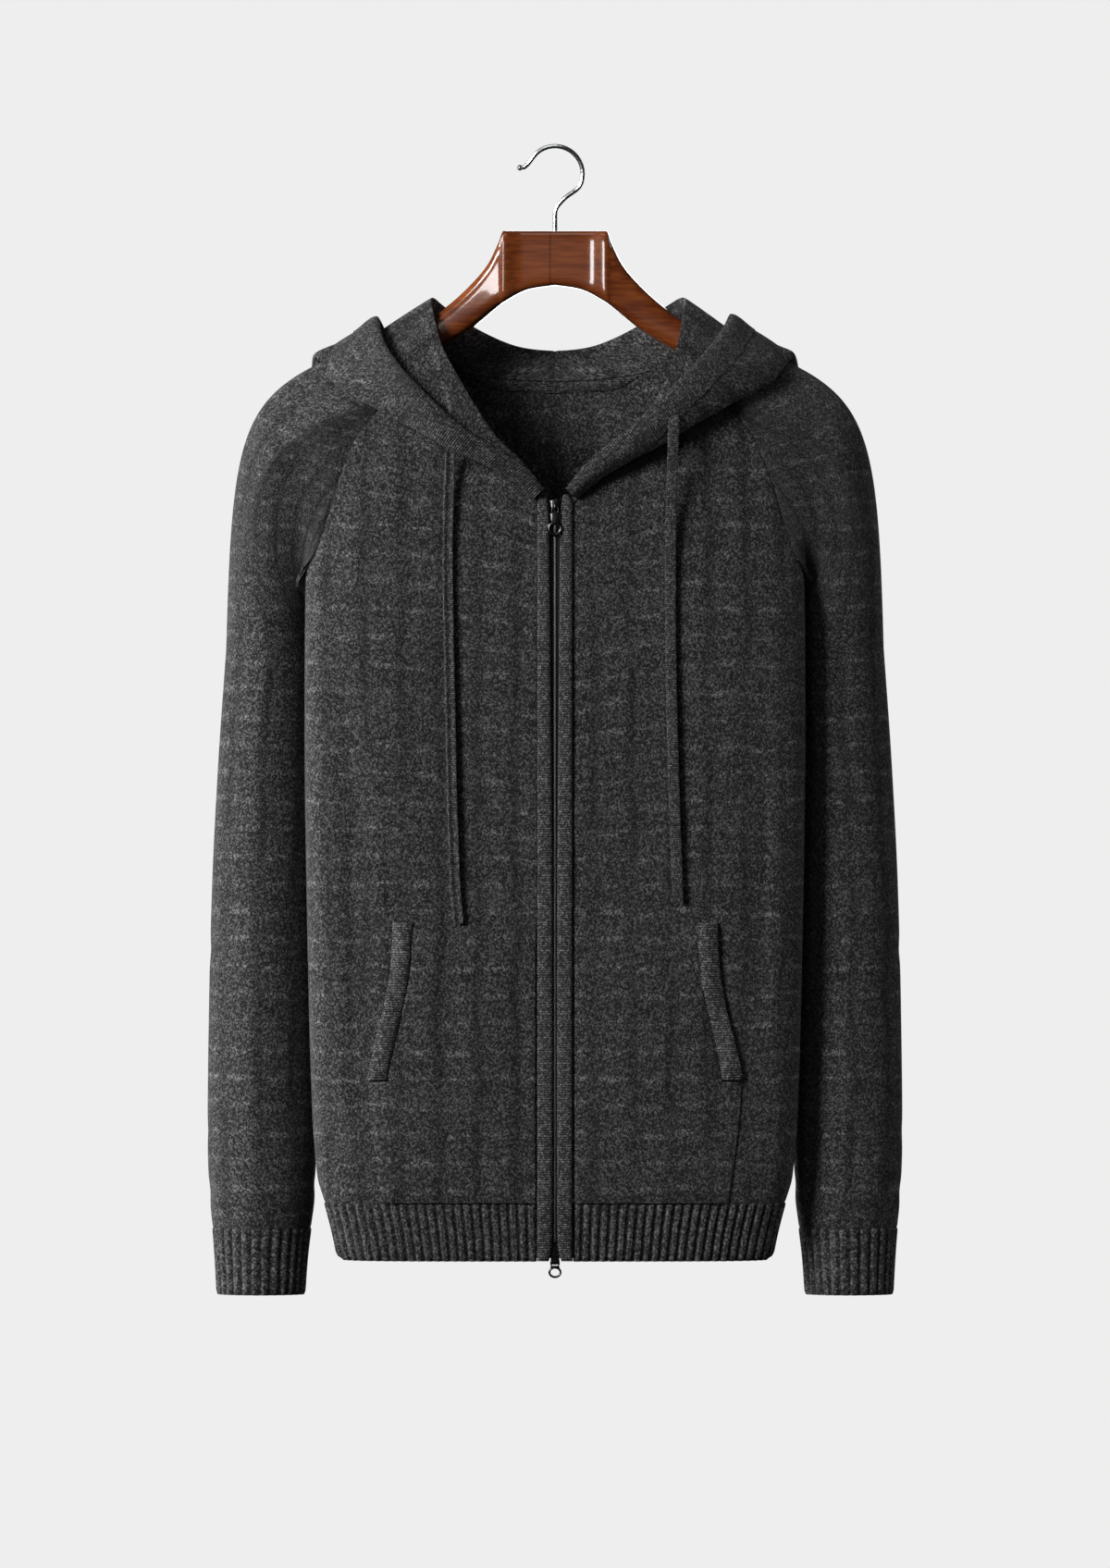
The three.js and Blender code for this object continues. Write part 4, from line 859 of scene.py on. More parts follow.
def drawstring(name, node, points, width, thickness, hollow, cut):
    """A flat knitted cord. A hollow one dips along its middle, a cut one ends on a slant."""
    centre, length = even_along(points, 220)
    along = unit(np.gradient(centre, axis=0))
    across = np.array([1.0, 0, 0]) - along * along[:, :1]
    across = unit(across)
    out = unit(np.cross(along, across))
    turn = np.linspace(0, FULL, 29)[:-1]
    c, s = np.cos(turn), np.sin(turn)
    side = np.sign(c) * np.abs(c) ** 0.8
    face = np.sign(s) * np.abs(s) ** 0.9
    face = face - hollow * np.where(s > 0, 1, 0) * np.exp(-((c / 0.42) ** 2))
    taper = np.ones(len(centre))
    taper[:2] = (0.8, 0.95)
    taper[-2:] = (0.97, 0.85)
    rings = (
        centre[:, None]
        + across[:, None] * (width / 2 * side)[None, :, None] * taper[:, None, None]
        + out[:, None] * (thickness / 2 * face)[None, :, None]
    )
    slant = cut * smooth(length - 14, length, run(centre[:, None], 0))
    rings = rings + along[:, None] * (slant * side[None])[..., None]
    made = lofted(name, rings)
    dress(made, CORD, nodes=(node,))
    [tuple(p) for p in centre * MM]
    return made


# Panels of the body
def panel(name, node, patch, width, height, flip, side):
    u = spread(width, 3.2)
    v = spread(height, 3.6)
    keep_u = np.clip(u, 0.12 / width, 1 - 0.12 / width)
    keep_v = np.clip(v, 0.12 / height, 1 - 0.12 / height)
    angle, z = patch(keep_u, keep_v)
    angle = angle * side
    normal = torso_normal(angle, z)
    points = torso(angle, z)
    edge = np.minimum(np.minimum(u, 1 - u)[None] * width, np.minimum(v, 1 - v)[:, None] * height)
    flush = 1 - 0.9 * np.exp(-(((z - UNDERARM - 15) / 28) ** 2))
    outer = points + normal * (seam_drop(edge, 0.4) * flush)[..., None]
    inner = points - normal * CLOTH
    level = points * np.array([1, 1, 0])
    across = run(level, 1)
    across = across + (PANEL_EDGE if patch is front_patch else -across[:, -1:] / 2)
    made = wall(name, outer, inner, np.stack([across * side, z], axis=-1), flip=flip)
    dress(made, FRONT_KNIT if patch is front_patch else KNIT, nodes=(node,))
    return made


# Ribbing
def rib_wave(distance, pitch=RIB_PITCH):
    """The height of a rib across it: a broad round top and a narrow groove."""
    return np.clip(0.6 + 0.95 * np.cos(FULL * distance / pitch), -0.35, 1.0)


def torso_girth(start, end, count):
    """Angles spaced evenly along the torso's girth at the hem, and that girth."""
    dense = np.linspace(start, end, 1200)
    z = (HEM_TOP + HEM_BOTTOM) / 2
    length = run(torso(dense, z)[:, None], 0)[:, 0]
    at = np.linspace(0.25, length[-1] - 0.25, count)
    return np.interp(at, length, dense), at, length[-1]


def ribbed_wall(name, rows, normals, distance, girth, along, wrap, flip, lift):
    """A wall with round ribs outside and a plain inside."""
    ribs = round(girth / RIB_PITCH)
    height = rib_wave(distance - girth / ribs / 2, girth / ribs)
    puff = seam_drop(along - along[0], 0.9, 1.8)[:, None] + seam_drop(along[-1] - along, 0.3, 1.2)[:, None]
    outer = rows + normals * (height * RIB_HEIGHT + puff + lift)[..., None]
    inner = rows + normals * (lift + 0.6 - CLOTH)
    even = distance * RIB_PITCH * ribs / girth
    flat = np.stack(np.broadcast_arrays(even[None], along[:, None]), axis=-1)
    return wall(name, outer, inner, flat, wrap=wrap, flip=flip)


def hem_rib(name, node, start, end):
    columns = 9 * round(abs(end - start) * 190 / RIB_PITCH)
    angle, distance, girth = torso_girth(start, end, columns)
    top = HEM_TOP - SEAM_GAP
    z = HEM_BOTTOM + np.array([0, 0.6, 1.6, 3.5, 7, 12, 18, 24, 30, 36, 40, 43, 45, 46.2, 46.7])
    z = np.minimum(z, top)
    rows = torso(angle[None], z[:, None])
    normals = torso_normal(angle[None], z[:, None])
    turn_in = 3.6 * np.exp(-(((z - HEM_BOTTOM) / 3.2) ** 2))[:, None] * np.abs(np.sin(angle))[None] ** 8
    rows = rows - normals * turn_in[..., None]
    made = ribbed_wall(name, rows, normals, distance, girth, z, False, end < start, -0.2)
    return dress(made, RIB, nodes=(node,))


def sleeve_ring(share, z):
    """The sleeve as a hanging tube: share 0 is its inner line, 0.25 its front, 0.5 its outer line."""
    outer = read(SLEEVE, "z", "outer", z)
    inner = read(SLEEVE, "z", "inner", z)
    turn = FULL * share
    soften = 1 - 0.05 * np.sin(2 * turn) ** 2
    return points_of(
        (outer + inner) / 2 - (outer - inner) / 2 * np.cos(turn),
        read(SLEEVE, "z", "centre_y", z) - read(SLEEVE, "z", "half_depth", z) * np.sin(turn) * soften,
        z,
    )


def ring_normal(share, z):
    around = sleeve_ring(share + 0.004, z) - sleeve_ring(share - 0.004, z)
    up = sleeve_ring(share, z + 2) - sleeve_ring(share, z - 2)
    return unit(np.cross(around, up))


def cuff(side, word):
    share = np.linspace(0, 1, 28 * 9 + 1)
    z = CUFF_BOTTOM + np.array([0, 0.6, 1.6, 3.5, 8, 14, 21, 28, 35, 42, 47, 50, 52, 53.3, 54])
    rows = sleeve_ring(share[None], z[:, None])
    normals = ring_normal(share[None], z[:, None])
    girth = 202
    distance = share * girth
    if side < 0:
        rows, normals = mirrored(rows), mirrored(normals)
    name = f"ribbed_cuff_{word}"
    made = ribbed_wall(name, rows, normals, distance, girth, z, True, side < 0, -0.5)
    return dress(made, RIB, nodes=(f"cuff_{word}",))


# Sleeves
SLEEVE_COLUMNS = 25
RIM_NECK_START = 0.4
RIM_NECK_END = 0.6


def sleeve_rim(share):
    """The sleeve's upper rim: up the front raglan seam, along the neck, down the back raglan seam."""
    share = np.asarray(share, float)
    along_neck = (share > RIM_NECK_START) & (share < RIM_NECK_END)
    is_front = share <= RIM_NECK_START
    climb = np.where(is_front, share / RIM_NECK_START, (1 - share) / (1 - RIM_NECK_END))
    climb = np.clip(climb, 0, 1)
    top = np.where(is_front, NECK["z"][NECK_FRONT_JOIN], NECK["z"][NECK_BACK_JOIN])
    z = lerp(UNDERARM, top, climb)
    angle = np.where(is_front, front_seam_angle(z), back_seam_angle(z))
    t = np.clip((share - RIM_NECK_START) / (RIM_NECK_END - RIM_NECK_START), 0, 1)
    place = lerp(NECK_FRONT_JOIN, NECK_BACK_JOIN, t)
    pick = along_neck[:, None]
    point = np.where(pick, neck_point(place), torso(angle, z))
    normal = np.where(pick, neck_normal(place), torso_normal(angle, z))
    return point, normal, np.where(along_neck, 1, climb)


def sleeve_upper(share, t):
    """The sleeve from its bend to the rim, as curves that leave the rim sideways. Rows follow t."""
    low = sleeve_ring(share, SLEEVE_BEND)
    point, _, rise = sleeve_rim(share)
    s = smooth(0, 1, rise)[:, None]
    span = np.linalg.norm(point - low, axis=-1, keepdims=True)
    is_front = (share <= 0.5)[:, None]
    sideways = np.where(is_front, np.array([0.85, 0.1, -0.5]), np.array([0.6, 0.6, -0.5]))
    leave = unit(lerp(sideways, np.array([0.93, 0, -0.36]), s))
    lift = span * lerp(0.5, 0.7, s)
    first = low + np.concatenate(
        [-0.03 * lift, lerp(low[:, 1:2], point[:, 1:2], 0.62 * s) - low[:, 1:2], lift], axis=-1
    )
    second = point + leave * span * lerp(0.28, 0.46, s)
    t = t[:, None, None]
    return (1 - t) ** 3 * low + 3 * (1 - t) ** 2 * t * first + 3 * (1 - t) * t * t * second + t**3 * point


def sleeve_creases(points, share):
    """How far the sleeve's cloth sinks into the soft creases of its hang."""
    z = points[..., 2]
    turn = FULL * share[None]
    depth = 0.0
    for centre, tilt, size, phase in ((-846, 9, 1.1, 0.4), (-812, -12, 0.9, 1.7), (-640, 16, 0.9, 0.9)):
        line = centre + tilt * np.sin(turn + phase)
        depth = depth + size * np.exp(-(((z - line) / 9) ** 2)) * (0.6 + 0.4 * np.cos(turn * 2 + phase))
    fade = smooth(CUFF_TOP, CUFF_TOP + 12, z) * smooth(-300, -420, z)
    return depth * fade


def shoulder_dip(points, to_rim):
    """How far the sleeve's front sinks into a shallow hollow beside the raglan seam."""
    x, y, z = points[..., 0], points[..., 1], points[..., 2]
    place = np.exp(-(((x - 211) / 20) ** 2) - ((z + 262) / 46) ** 2)
    return 4.2 * place * smooth(-4, -18, y) * smooth(0, 16, to_rim)


def sleeve(side, word):
    neck = np.linspace(RIM_NECK_START, RIM_NECK_END, 25)[1:]
    share = np.concatenate([np.linspace(0, RIM_NECK_START, 49), neck, np.linspace(RIM_NECK_END, 1, 49)[1:]])
    low = np.concatenate([[0, 0.6, 1.5, 3], np.linspace(5, SLEEVE_BEND - CUFF_TOP - 5, 115)])
    low = CUFF_TOP + SEAM_GAP + low
    t = np.concatenate([np.linspace(0, 0.985, 75), [0.991, 0.995, 0.998, 1]])
    rows = np.concatenate([sleeve_ring(share[None], low[:, None]), sleeve_upper(share, t)])
    own = wrap_normals(rows)
    _, normal, rise = sleeve_rim(share)
    flush = smooth(0.04, 0.34, rise)[:, None]
    rim_normal = unit(lerp(own[-1], normal, flush))
    back = rows[-4] - rows[-1]
    back = unit(back - normal * (back * normal).sum(axis=-1, keepdims=True))
    away = unit(lerp(normal, back, flush))
    rows[-1] = rows[-1] + away * lerp(0.08, 0.15, flush)
    own[-1] = rim_normal
    along = run(rows, 0)
    rows = rows - own * shoulder_dip(rows, along[-1] - along)[..., None]
    edge = np.minimum(along, along[-1] - along)
    joined = np.where(np.arange(len(rows)) > len(low), flush[:, 0][:, None], 1.0).T
    drop = seam_drop(edge, 0.4) * joined - sleeve_creases(rows, share)
    outer = rows + own * drop[..., None]
    inner = rows - own * CLOTH + own * (np.minimum(0, drop) * 0.5)[..., None]
    across = run(rows, 1)
    across = (across - across[:, len(share) // 2][:, None]) * side
    flat = np.stack([across, CUFF_TOP + along], axis=-1)
    if side < 0:
        outer, inner = mirrored(outer), mirrored(inner)
    made = wall(f"knit_sleeve_{word}", outer, inner, flat, wrap=True, flip=side < 0)
    return dress(made, KNIT, nodes=(f"sleeve_{word}",))


def wrap_normals(rows):
    """Normals of a grid whose last column lies on its first."""
    normals = grid_normals(rows[:, :-1], wrap=True)
    return np.concatenate([normals, normals[:, :1]], axis=1)


# The hood
HOOD_STATIONS = np.array(
    [0, 0.7, 1.4, 2.1, 2.8, 3.5, 4.2, 4.9, 5.5, 6, 6.4, 6.8, 7.1, 7.4, 7.7, 8, 8.35, 8.8, 9.3, 9.9, 10.4, 11]
)
BAND_COLUMNS = 3


def hood_lines(side, place):
    """The crest, the lowest line and the free edge of the hood at places along the neck."""
    shape = HOOD_LEFT if side > 0 else HOOD_RIGHT
    lines = []
    for name in ("fold", "low", "edge"):
        keys = points_of(shape[f"{name}_x"], HOOD_DEPTH[name], shape[f"{name}_z"])
        lines.append(curve(keys, place / NECK_LAST))
    return lines


def hood_sections(side, place):
    """Nine points for each section of the hood, from the neck seam to the free edge."""
    neck = neck_point(place)
    fold, low, edge = hood_lines(side, place)
    size = np.minimum(1, np.linalg.norm(low - edge, axis=-1) / 60)[:, None]
    sag = np.array([0, 0, -7]) * size * np.exp(-(((place - 7) / 1.6) ** 2))[:, None]
    rise = lerp(neck, fold, 0.5)
    down = lerp(fold, low, 0.5) + sag
    belly = lerp(low, edge, 0.45) + neck_outward(place) * 9 * size
    apart = unit(belly - down) * (1.5 + 2.5 * size)
    turn_up = unit(edge - low) * (2 + 4 * size)
    turn_in = low - apart + turn_up
    turn_out = low + apart + turn_up
    return np.stack([neck, rise, fold, down, turn_in, low, turn_out, belly, edge], axis=1)


def band_start(section):
    """The share of a section that lies one band width before the free edge."""
    share = np.arange(1.0, 0.69, -0.01)
    run_back = run(curve(section, share)[:, None], 0)[:, 0]
    past = np.nonzero(run_back >= BAND_WIDTH)[0]
    return share[past[0]] if len(past) else share[-1]


def hood_shares(section):
    start = band_start(section)
    body = [0, 0.05, 0.1, 0.17, 0.25, 0.36, 0.48, 0.57, 0.625, 0.67, lerp(0.67, start, 0.5), start]
    band = [lerp(start, 1, (i + 1) / BAND_COLUMNS) for i in range(BAND_COLUMNS)]
    return np.array(body + band)


def shoulder_samples():
    """Points over the facets of the sleeve's shoulder with their normals, for the hood to rest on."""
    share = np.arange(SLEEVE_COLUMNS + 1) / SLEEVE_COLUMNS
    rows = sleeve_upper(share, np.array([0.36, 0.52, 0.66, 0.78, 0.88, 0.95, 1]))
    normals = wrap_normals(rows)
    points, directions = [], []
    for k in range(25):
        v, u = (k // 5) / 5, (k % 5) / 5
        for source, target in ((rows, points), (normals, directions)):
            low = lerp(source[:-1, :-1], source[:-1, 1:], u)
            high = lerp(source[1:, :-1], source[1:, 1:], u)
            target.append(lerp(low, high, v).reshape(-1, 3))
    return np.vstack(points), unit(np.vstack(directions))


SHOULDER = shoulder_samples()


def lift_off_shoulder(points, distance):
    """How far points must move to stay a distance above the shoulder."""
    samples, normals = SHOULDER
    gap = ((points[:, None] - samples[None]) ** 2).sum(axis=-1)
    nearest = gap.argmin(axis=1)
    normal = normals[nearest]
    height = ((points - samples[nearest]) * normal).sum(axis=-1)
    free = (points[:, 0] < 80) | (gap.min(axis=1) > 900) | (height > distance)
    return np.where(free[:, None], 0, normal * (distance - height)[:, None])


def settle(rows):
    """Lifts the hood's points, then the middles of its cells, until all rest on the shoulder."""
    rows = rows.copy()
    count, columns = rows.shape[:2]
    distance = np.broadcast_to(np.where(np.arange(columns) > 1, 4.0, 3.0), (count, columns))
    for _ in range(6):
        rows += lift_off_shoulder(rows.reshape(-1, 3), distance.reshape(-1)).reshape(rows.shape)
        for i in range(count - 1):
            for j in range(1, columns - 1):
                cell = rows[i : i + 2, j : j + 2]
                cell += lift_off_shoulder(cell.reshape(-1, 3).mean(axis=0)[None], np.array([4.0]))[0]
    return rows


def hood_grid(side, place, columns):
    """The hood's middle surface. Columns count along each section from 0 to 14."""
    sections = hood_sections(side, place)
    last = np.arange(15)
    rows = [curve(s, np.interp(columns, last, hood_shares(s))) for s in sections]
    return np.stack(rows)


def blend_grid(values, rows, row_at, column_at):
    """Reads a grid of vectors between its rows and columns, smoothly."""
    i = np.clip(np.searchsorted(rows, row_at, side="right") - 1, 0, len(rows) - 2)
    t = smooth(0, 1, (row_at - rows[i]) / (rows[i + 1] - rows[i]))[:, None, None]
    j = np.clip(column_at.astype(int), 0, values.shape[1] - 2)
    u = smooth(0, 1, column_at - j)[None, :, None]
    low = lerp(values[i][:, j], values[i][:, j + 1], u)
    high = lerp(values[i + 1][:, j], values[i + 1][:, j + 1], u)
    return lerp(low, high, t)


def hood_surface(side):
    coarse = hood_grid(side, HOOD_STATIONS, np.arange(15.0))
    moved = settle(coarse) - coarse
    place = np.unique(np.concatenate([np.linspace(0, 5, 56), np.linspace(5, 9, 81), np.linspace(9, 11, 34)]))
    columns = np.linspace(0, 14, 127)
    middle = hood_grid(side, place, columns) + blend_grid(moved, HOOD_STATIONS, place, columns)
    normals = grid_normals(middle)
    n = neck_normal(place)
    up = middle[:, 3] - middle[:, 0]
    up = unit(up - n * (up * n).sum(axis=-1, keepdims=True))
    facing = np.sign((n * normals[:, 0]).sum(axis=-1, keepdims=True))
    lead = smooth(4, 0, np.arange(len(columns)))[None, :, None]
    middle = middle + lead * (up * 1.5 * SEAM_GAP - n * CLOTH / 2)[:, None]
    normals[:, 0] = n * np.where(facing == 0, 1, facing)
    reach = np.abs(middle[..., 0])
    middle[..., 2] += 0.18 * (np.sqrt(reach**2 + 144) - reach) * smooth(0, 3, columns)[None]
    middle[-1, :, 0] = -0.02
    normals[-1] = unit(normals[-1] * np.array([0, 1, 1]))
    thickness = np.interp(place, np.arange(12), HOOD_DEPTH["thickness"])
    return place, columns, middle, normals, thickness


def hood_piece(side, word):
    place, columns, middle, normals, thickness = hood_surface(side)
    half = (thickness / 2)[:, None, None]
    centre = run(middle[::-1], 0)[::-1]
    drop = (seam_drop(run(middle, 1), 0.5) + seam_drop(centre, 0.7))[..., None]
    outer = middle + normals * (half + drop)
    inner = middle - normals * half
    along = run(middle, 1)
    flat = np.stack([run(middle, 0), along], axis=-1)
    if side < 0:
        outer, inner = mirrored(outer), mirrored(inner)
    made = wall(f"knit_hood_{word}", outer, inner, flat, flip=side < 0)
    dress(made, KNIT, nodes=(f"hood_{word}",))
    return made, (place, columns, middle, normals, thickness)


def hood_band(side, word, surface):
    place, columns, middle, normals, thickness = surface
    first = int(np.searchsorted(columns, 11.0 - 1e-6))
    middle, normals = middle[:, first:], normals[:, first:]
    row = int(np.searchsorted(place, 5.5))
    outward = np.sign((normals[row, 3] * neck_outward(np.array([5.5]))[0]).sum())
    base = (outward * (thickness / 2 + SEAM_GAP))[:, None, None]
    share = np.linspace(0, 1, middle.shape[1])
    crown = 0.25 + 1.35 * smooth(0, 0.75, share) - 1.1 * np.maximum(0, (share - 0.72) / 0.28) ** 3
    top = base + outward * (BAND_THICKNESS * crown)[None, :, None]
    outer, inner = middle + normals * top, middle + normals * base
    along = run(middle[:, 6:7], 0)
    across = run(middle, 1)
    flat = np.stack(np.broadcast_arrays(across, along), axis=-1)
    if side < 0:
        outer, inner = mirrored(outer), mirrored(inner)
    made = wall(f"hood_casing_{word}", outer, inner, flat, flip=(outward > 0) == (side < 0))
    clean(made)
    return dress(made, RIDGES, nodes=(f"hood_band_{word}",))


def neck_binding():
    u = np.linspace(0, 1, 90)
    v = np.linspace(0, 1, 7)
    place = NECK_LAST - np.abs(2 * u - 1) * 1.5
    p = neck_point(place)
    ends = smooth(0, 0.12, np.minimum(u, 1 - u))[None]
    z = p[None, :, 2] - 1 - (2 + 6 * ends) * (1 - v[:, None])
    turned = np.where(u < 0.5, 1, -1) * front_angle(np.maximum(0, p[None, :, 0]), z)
    angle = math.pi - turned
    normal = torso_normal(angle, z)
    rows = torso(angle, z) - normal * (CLOTH + 2 * SEAM_GAP)
    crown = 0.5 * (1 - np.abs(2 * v - 1) ** 3)[:, None, None]
    inner = rows - normal * (0.25 + crown * (0.2 + 0.8 * ends[..., None]) * 1.6)
    flat = np.stack(np.broadcast_arrays(run(rows, 1), z), axis=-1)
    made = wall("neck_tape", rows, inner, flat)
    return dress(made, RIDGES, nodes=("neck_binding",))


# The front edge and its zip
def placket(side, word):
    z = np.append(np.arange(PLACKET_BOTTOM, ZIP_TOP - 4, 3.0), np.arange(ZIP_TOP - 3, ZIP_TOP + 5, 1.0))
    end = np.minimum(z - z[0], z[-1] - z)
    shrink = 1 - 0.3 * np.exp(-((end / 2) ** 2))
    inner = read(ZIP_GAP, "z", "half", z)
    sewn = PLACKET_OUTER - 1.9 * smooth(-290, -285, z)
    centre = (inner + sewn) / 2
    half = (sewn - inner) / 2 * (1 - 0.3 * np.exp(-(((z[-1] - z) / 1.6) ** 2)))
    turn = np.linspace(0, FULL, 33)[:-1]
    c, s = np.cos(turn), np.sin(turn)
    across = np.sign(c) * np.abs(c) ** np.where(s > 0.01, 0.25, 0.7)
    depth = np.sign(s) * np.abs(s) ** np.where(s > 0.01, 0.3, 0.8)
    wave = 0.25 * np.sin(z / 17.0 + side) + 0.18 * np.sin(z / 7.3)
    x = centre[:, None] + half[:, None] * across
    thick = np.where(depth < 0, 2.9, 2.0)
    y = centre_front_y(z)[:, None] - 0.4 + thick * shrink[:, None] * depth + wave[:, None] * 0.6
    rings = points_of(side * x, y, z[:, None])
    made = lofted(f"zip_placket_{word}", rings, flip=side < 0)
    return dress(made, EDGE, nodes=(f"placket_{word}",))


def zip_tape(side, word):
    """The tape with its row of teeth."""
    z = np.arange(TAPE_BOTTOM, ZIP_TOP - 4, 6.0)
    z = np.append(z, ZIP_TOP - 4)
    outline = np.array([(1.0, 2.6), (13, 2.6), (13, 3.3), (1.0, 3.3)])
    y = centre_front_y(z)[:, None] + outline[None, :, 1]
    rings = points_of(side * outline[None, :, 0], y, z[:, None])
    tape = lofted(f"tape_{word}", rings, flip=side < 0)
    dress(tape, TAPE, nodes=(f"zip_tape_{word}",))
    half = 0.5 if side > 0 else 0.0
    centres = np.arange(TAPE_BOTTOM + 2 + half * ZIP_PITCH, ZIP_TOP - 8, ZIP_PITCH)
    teeth = Cloth()
    for at in centres:
        y = float(centre_front_y(at))
        block = box_rings(side * -0.6, side * 1.3, y + 1.2, y + 3.0, at - 0.6, at + 0.6)
        flat = np.zeros(block.shape[:2] + (2,))
        ids, marks = teeth.add(block, flat, wrap=True)
        teeth.face(ids, marks)
    row = teeth.make(f"teeth_{word}")
    clean(row)
    dress(row, TEETH)
    return tape, row


def box_rings(x0, x1, y0, y1, z0, z1):
    """A small block with bevelled front corners, as rings from one end to the other."""
    cut = 0.35 * np.sign(x1 - x0)
    ring = np.array(
        [(x0 + cut, y0), (x1 - cut, y0), (x1, y0 + 0.4), (x1, y1), (x0, y1), (x0, y0 + 0.4), (x0 + cut, y0)]
    )
    levels = [z0, z0, z1, z1]
    rings = []
    for k, z in enumerate(levels):
        flat = ring if k in (1, 2) else np.repeat(ring[:-1].mean(axis=0)[None], len(ring), axis=0)
        rings.append(points_of(flat[:, 0], flat[:, 1], z))
    return np.stack(rings)


def add_bar(cloth, rings):
    """Adds a solid through open rings of points, closed at both ends."""
    caps = [np.repeat(rings[i].mean(axis=0)[None], rings.shape[1], axis=0) for i in (0, -1)]
    rings = np.concatenate([caps[0][None], rings, caps[1][None]])
    closed = np.concatenate([rings, rings[:, :1]], axis=1)
    cloth.face(*cloth.add(closed, np.zeros(closed.shape[:2] + (2,)), wrap=True))


def add_loop(cloth, x, z, y, half_width, half_depth):
    """Adds a closed loop of rounded wire that lies flat to the front."""
    x, z = np.append(x, x[:1]), np.append(z, z[:1])
    step_x = np.append(np.diff(x), 0) + np.insert(np.diff(x), 0, 0)
    step_z = np.append(np.diff(z), 0) + np.insert(np.diff(z), 0, 0)
    step_x[[0, -1]] = step_x[0] + step_x[-1]
    step_z[[0, -1]] = step_z[0] + step_z[-1]
    size = np.hypot(step_x, step_z)
    turn = np.linspace(0, FULL, 13)
    wide = half_width * np.cos(turn)[None]
    deep = half_depth * np.sin(turn)[None]
    grid = points_of(
        x[:, None] + (step_z / size)[:, None] * wide, y + deep, z[:, None] - (step_x / size)[:, None] * wide
    )
    cloth.face(*cloth.add(grid, np.zeros(grid.shape[:2] + (2,)), wrap=True))


def rounded_plate(levels, halves, y, half_depth):
    """Rings of a plate with rounded edges, one at each level."""
    turn = np.linspace(0, FULL, 21)[:-1]
    c, s = np.cos(turn), np.sin(turn)
    across = np.sign(c) * np.abs(c) ** 0.55
    depth = np.sign(s) * np.abs(s) ** 0.55
    depths = np.broadcast_to(half_depth, np.shape(levels))[:, None]
    return points_of(
        np.array(halves)[:, None] * across, y + depths * depth, np.array(levels, float)[:, None]
    )


def rounded_frame(half, top, bottom):
    """A closed path round a small frame with rounded corners, in x and z."""
    turn = np.linspace(0, FULL, 29)[:-1]
    c, s = np.cos(turn), np.sin(turn)
    x = half * np.sign(c) * np.abs(c) ** 0.4
    z = (top + bottom) / 2 + (top - bottom) / 2 * np.sign(s) * np.abs(s) ** 0.4
    return x, z


def zip_slider():
    """The upper slider: a rounded body and the bridge that its pull hangs on."""
    y, z = float(centre_front_y(SLIDER_TOP_Z)), SLIDER_TOP_Z
    cloth = Cloth()
    levels = z + np.array([-6.5, -6.1, -5, -2, 1, 3.5, 5.2, 5.8, 6])
    halves = [2.6, 3.3, 3.6, 3.8, 4.1, 4.35, 4.1, 3.6, 2.8]
    depths = [0.7, 0.95, 1.05, 1.05, 1.05, 1.05, 1.05, 0.95, 0.7]
    add_bar(cloth, rounded_plate(levels, halves, y + 0.15, depths))
    turn = np.linspace(0, FULL, 13)[:-1]
    path = [(-0.5, 2.5), (-2.5, 2.5), (-4.6, 2.45), (-5.5, 2.1), (-5.9, 1.3), (-5.9, 0)]
    path += [(a, -b) for a, b in path[-2::-1]]
    path = np.array(path)
    ahead = unit(np.gradient(path, axis=0))
    wide, thin = 0.9 * np.cos(turn), 0.5 * np.sin(turn)
    rings = points_of(
        wide[None], y + path[:, :1] + ahead[:, 1:] * thin[None], z + path[:, 1:] - ahead[:, :1] * thin[None]
    )
    add_bar(cloth, rings)
    made = cloth.make("slider_top")
    clean(made)
    return dress(made, NICKEL, nodes=("zip_slider_top",))


# Sizes of the two pulls, measured down from the top of each
PULL_TOP = {
    "head": 3.0,
    "eye_low": 5.0,
    "plate_half": 3.9,
    "plate_low": 12.6,
    "ring_at": 17.6,
    "ring": 4.8,
    "wire": 1.5,
    "squash": 1.0,
}
PULL_BOTTOM = {
    "head": 3.6,
    "eye_low": 4.4,
    "plate_half": 3.9,
    "plate_low": 5.9,
    "ring_at": 9.2,
    "ring": 4.5,
    "wire": 0.9,
    "squash": 0.85,
}


def zip_pull(name, node, body, y, z, head, eye_low, plate_half, plate_low, ring_at, ring, wire, squash):
    """A pull tab: a frame round the slider's bridge, a plate and a ring."""
    cloth = Cloth()
    x, level = rounded_frame(head - 0.55, 0.05, -eye_low + 0.1)
    add_loop(cloth, x, z + level, y, 0.55, 0.6)
    below = [plate_low, plate_low - 0.5, plate_low - 1.2, eye_low + 0.6, eye_low, eye_low - 0.3]
    levels = z - np.array(below)
    halves = plate_half * np.array([0.85, 0.96, 1, 1, 0.9, 0.75])
    add_bar(cloth, rounded_plate(levels, halves, y, [0.35, 0.55, 0.6, 0.6, 0.55, 0.35]))
    turn = np.linspace(0, FULL, 41)[:-1]
    add_loop(cloth, ring * np.cos(turn), z - ring_at + ring * squash * np.sin(turn), y, wire, 0.75)
    made = cloth.make(name)
    clean(made)
    return dress(made, NICKEL, body, (node,))


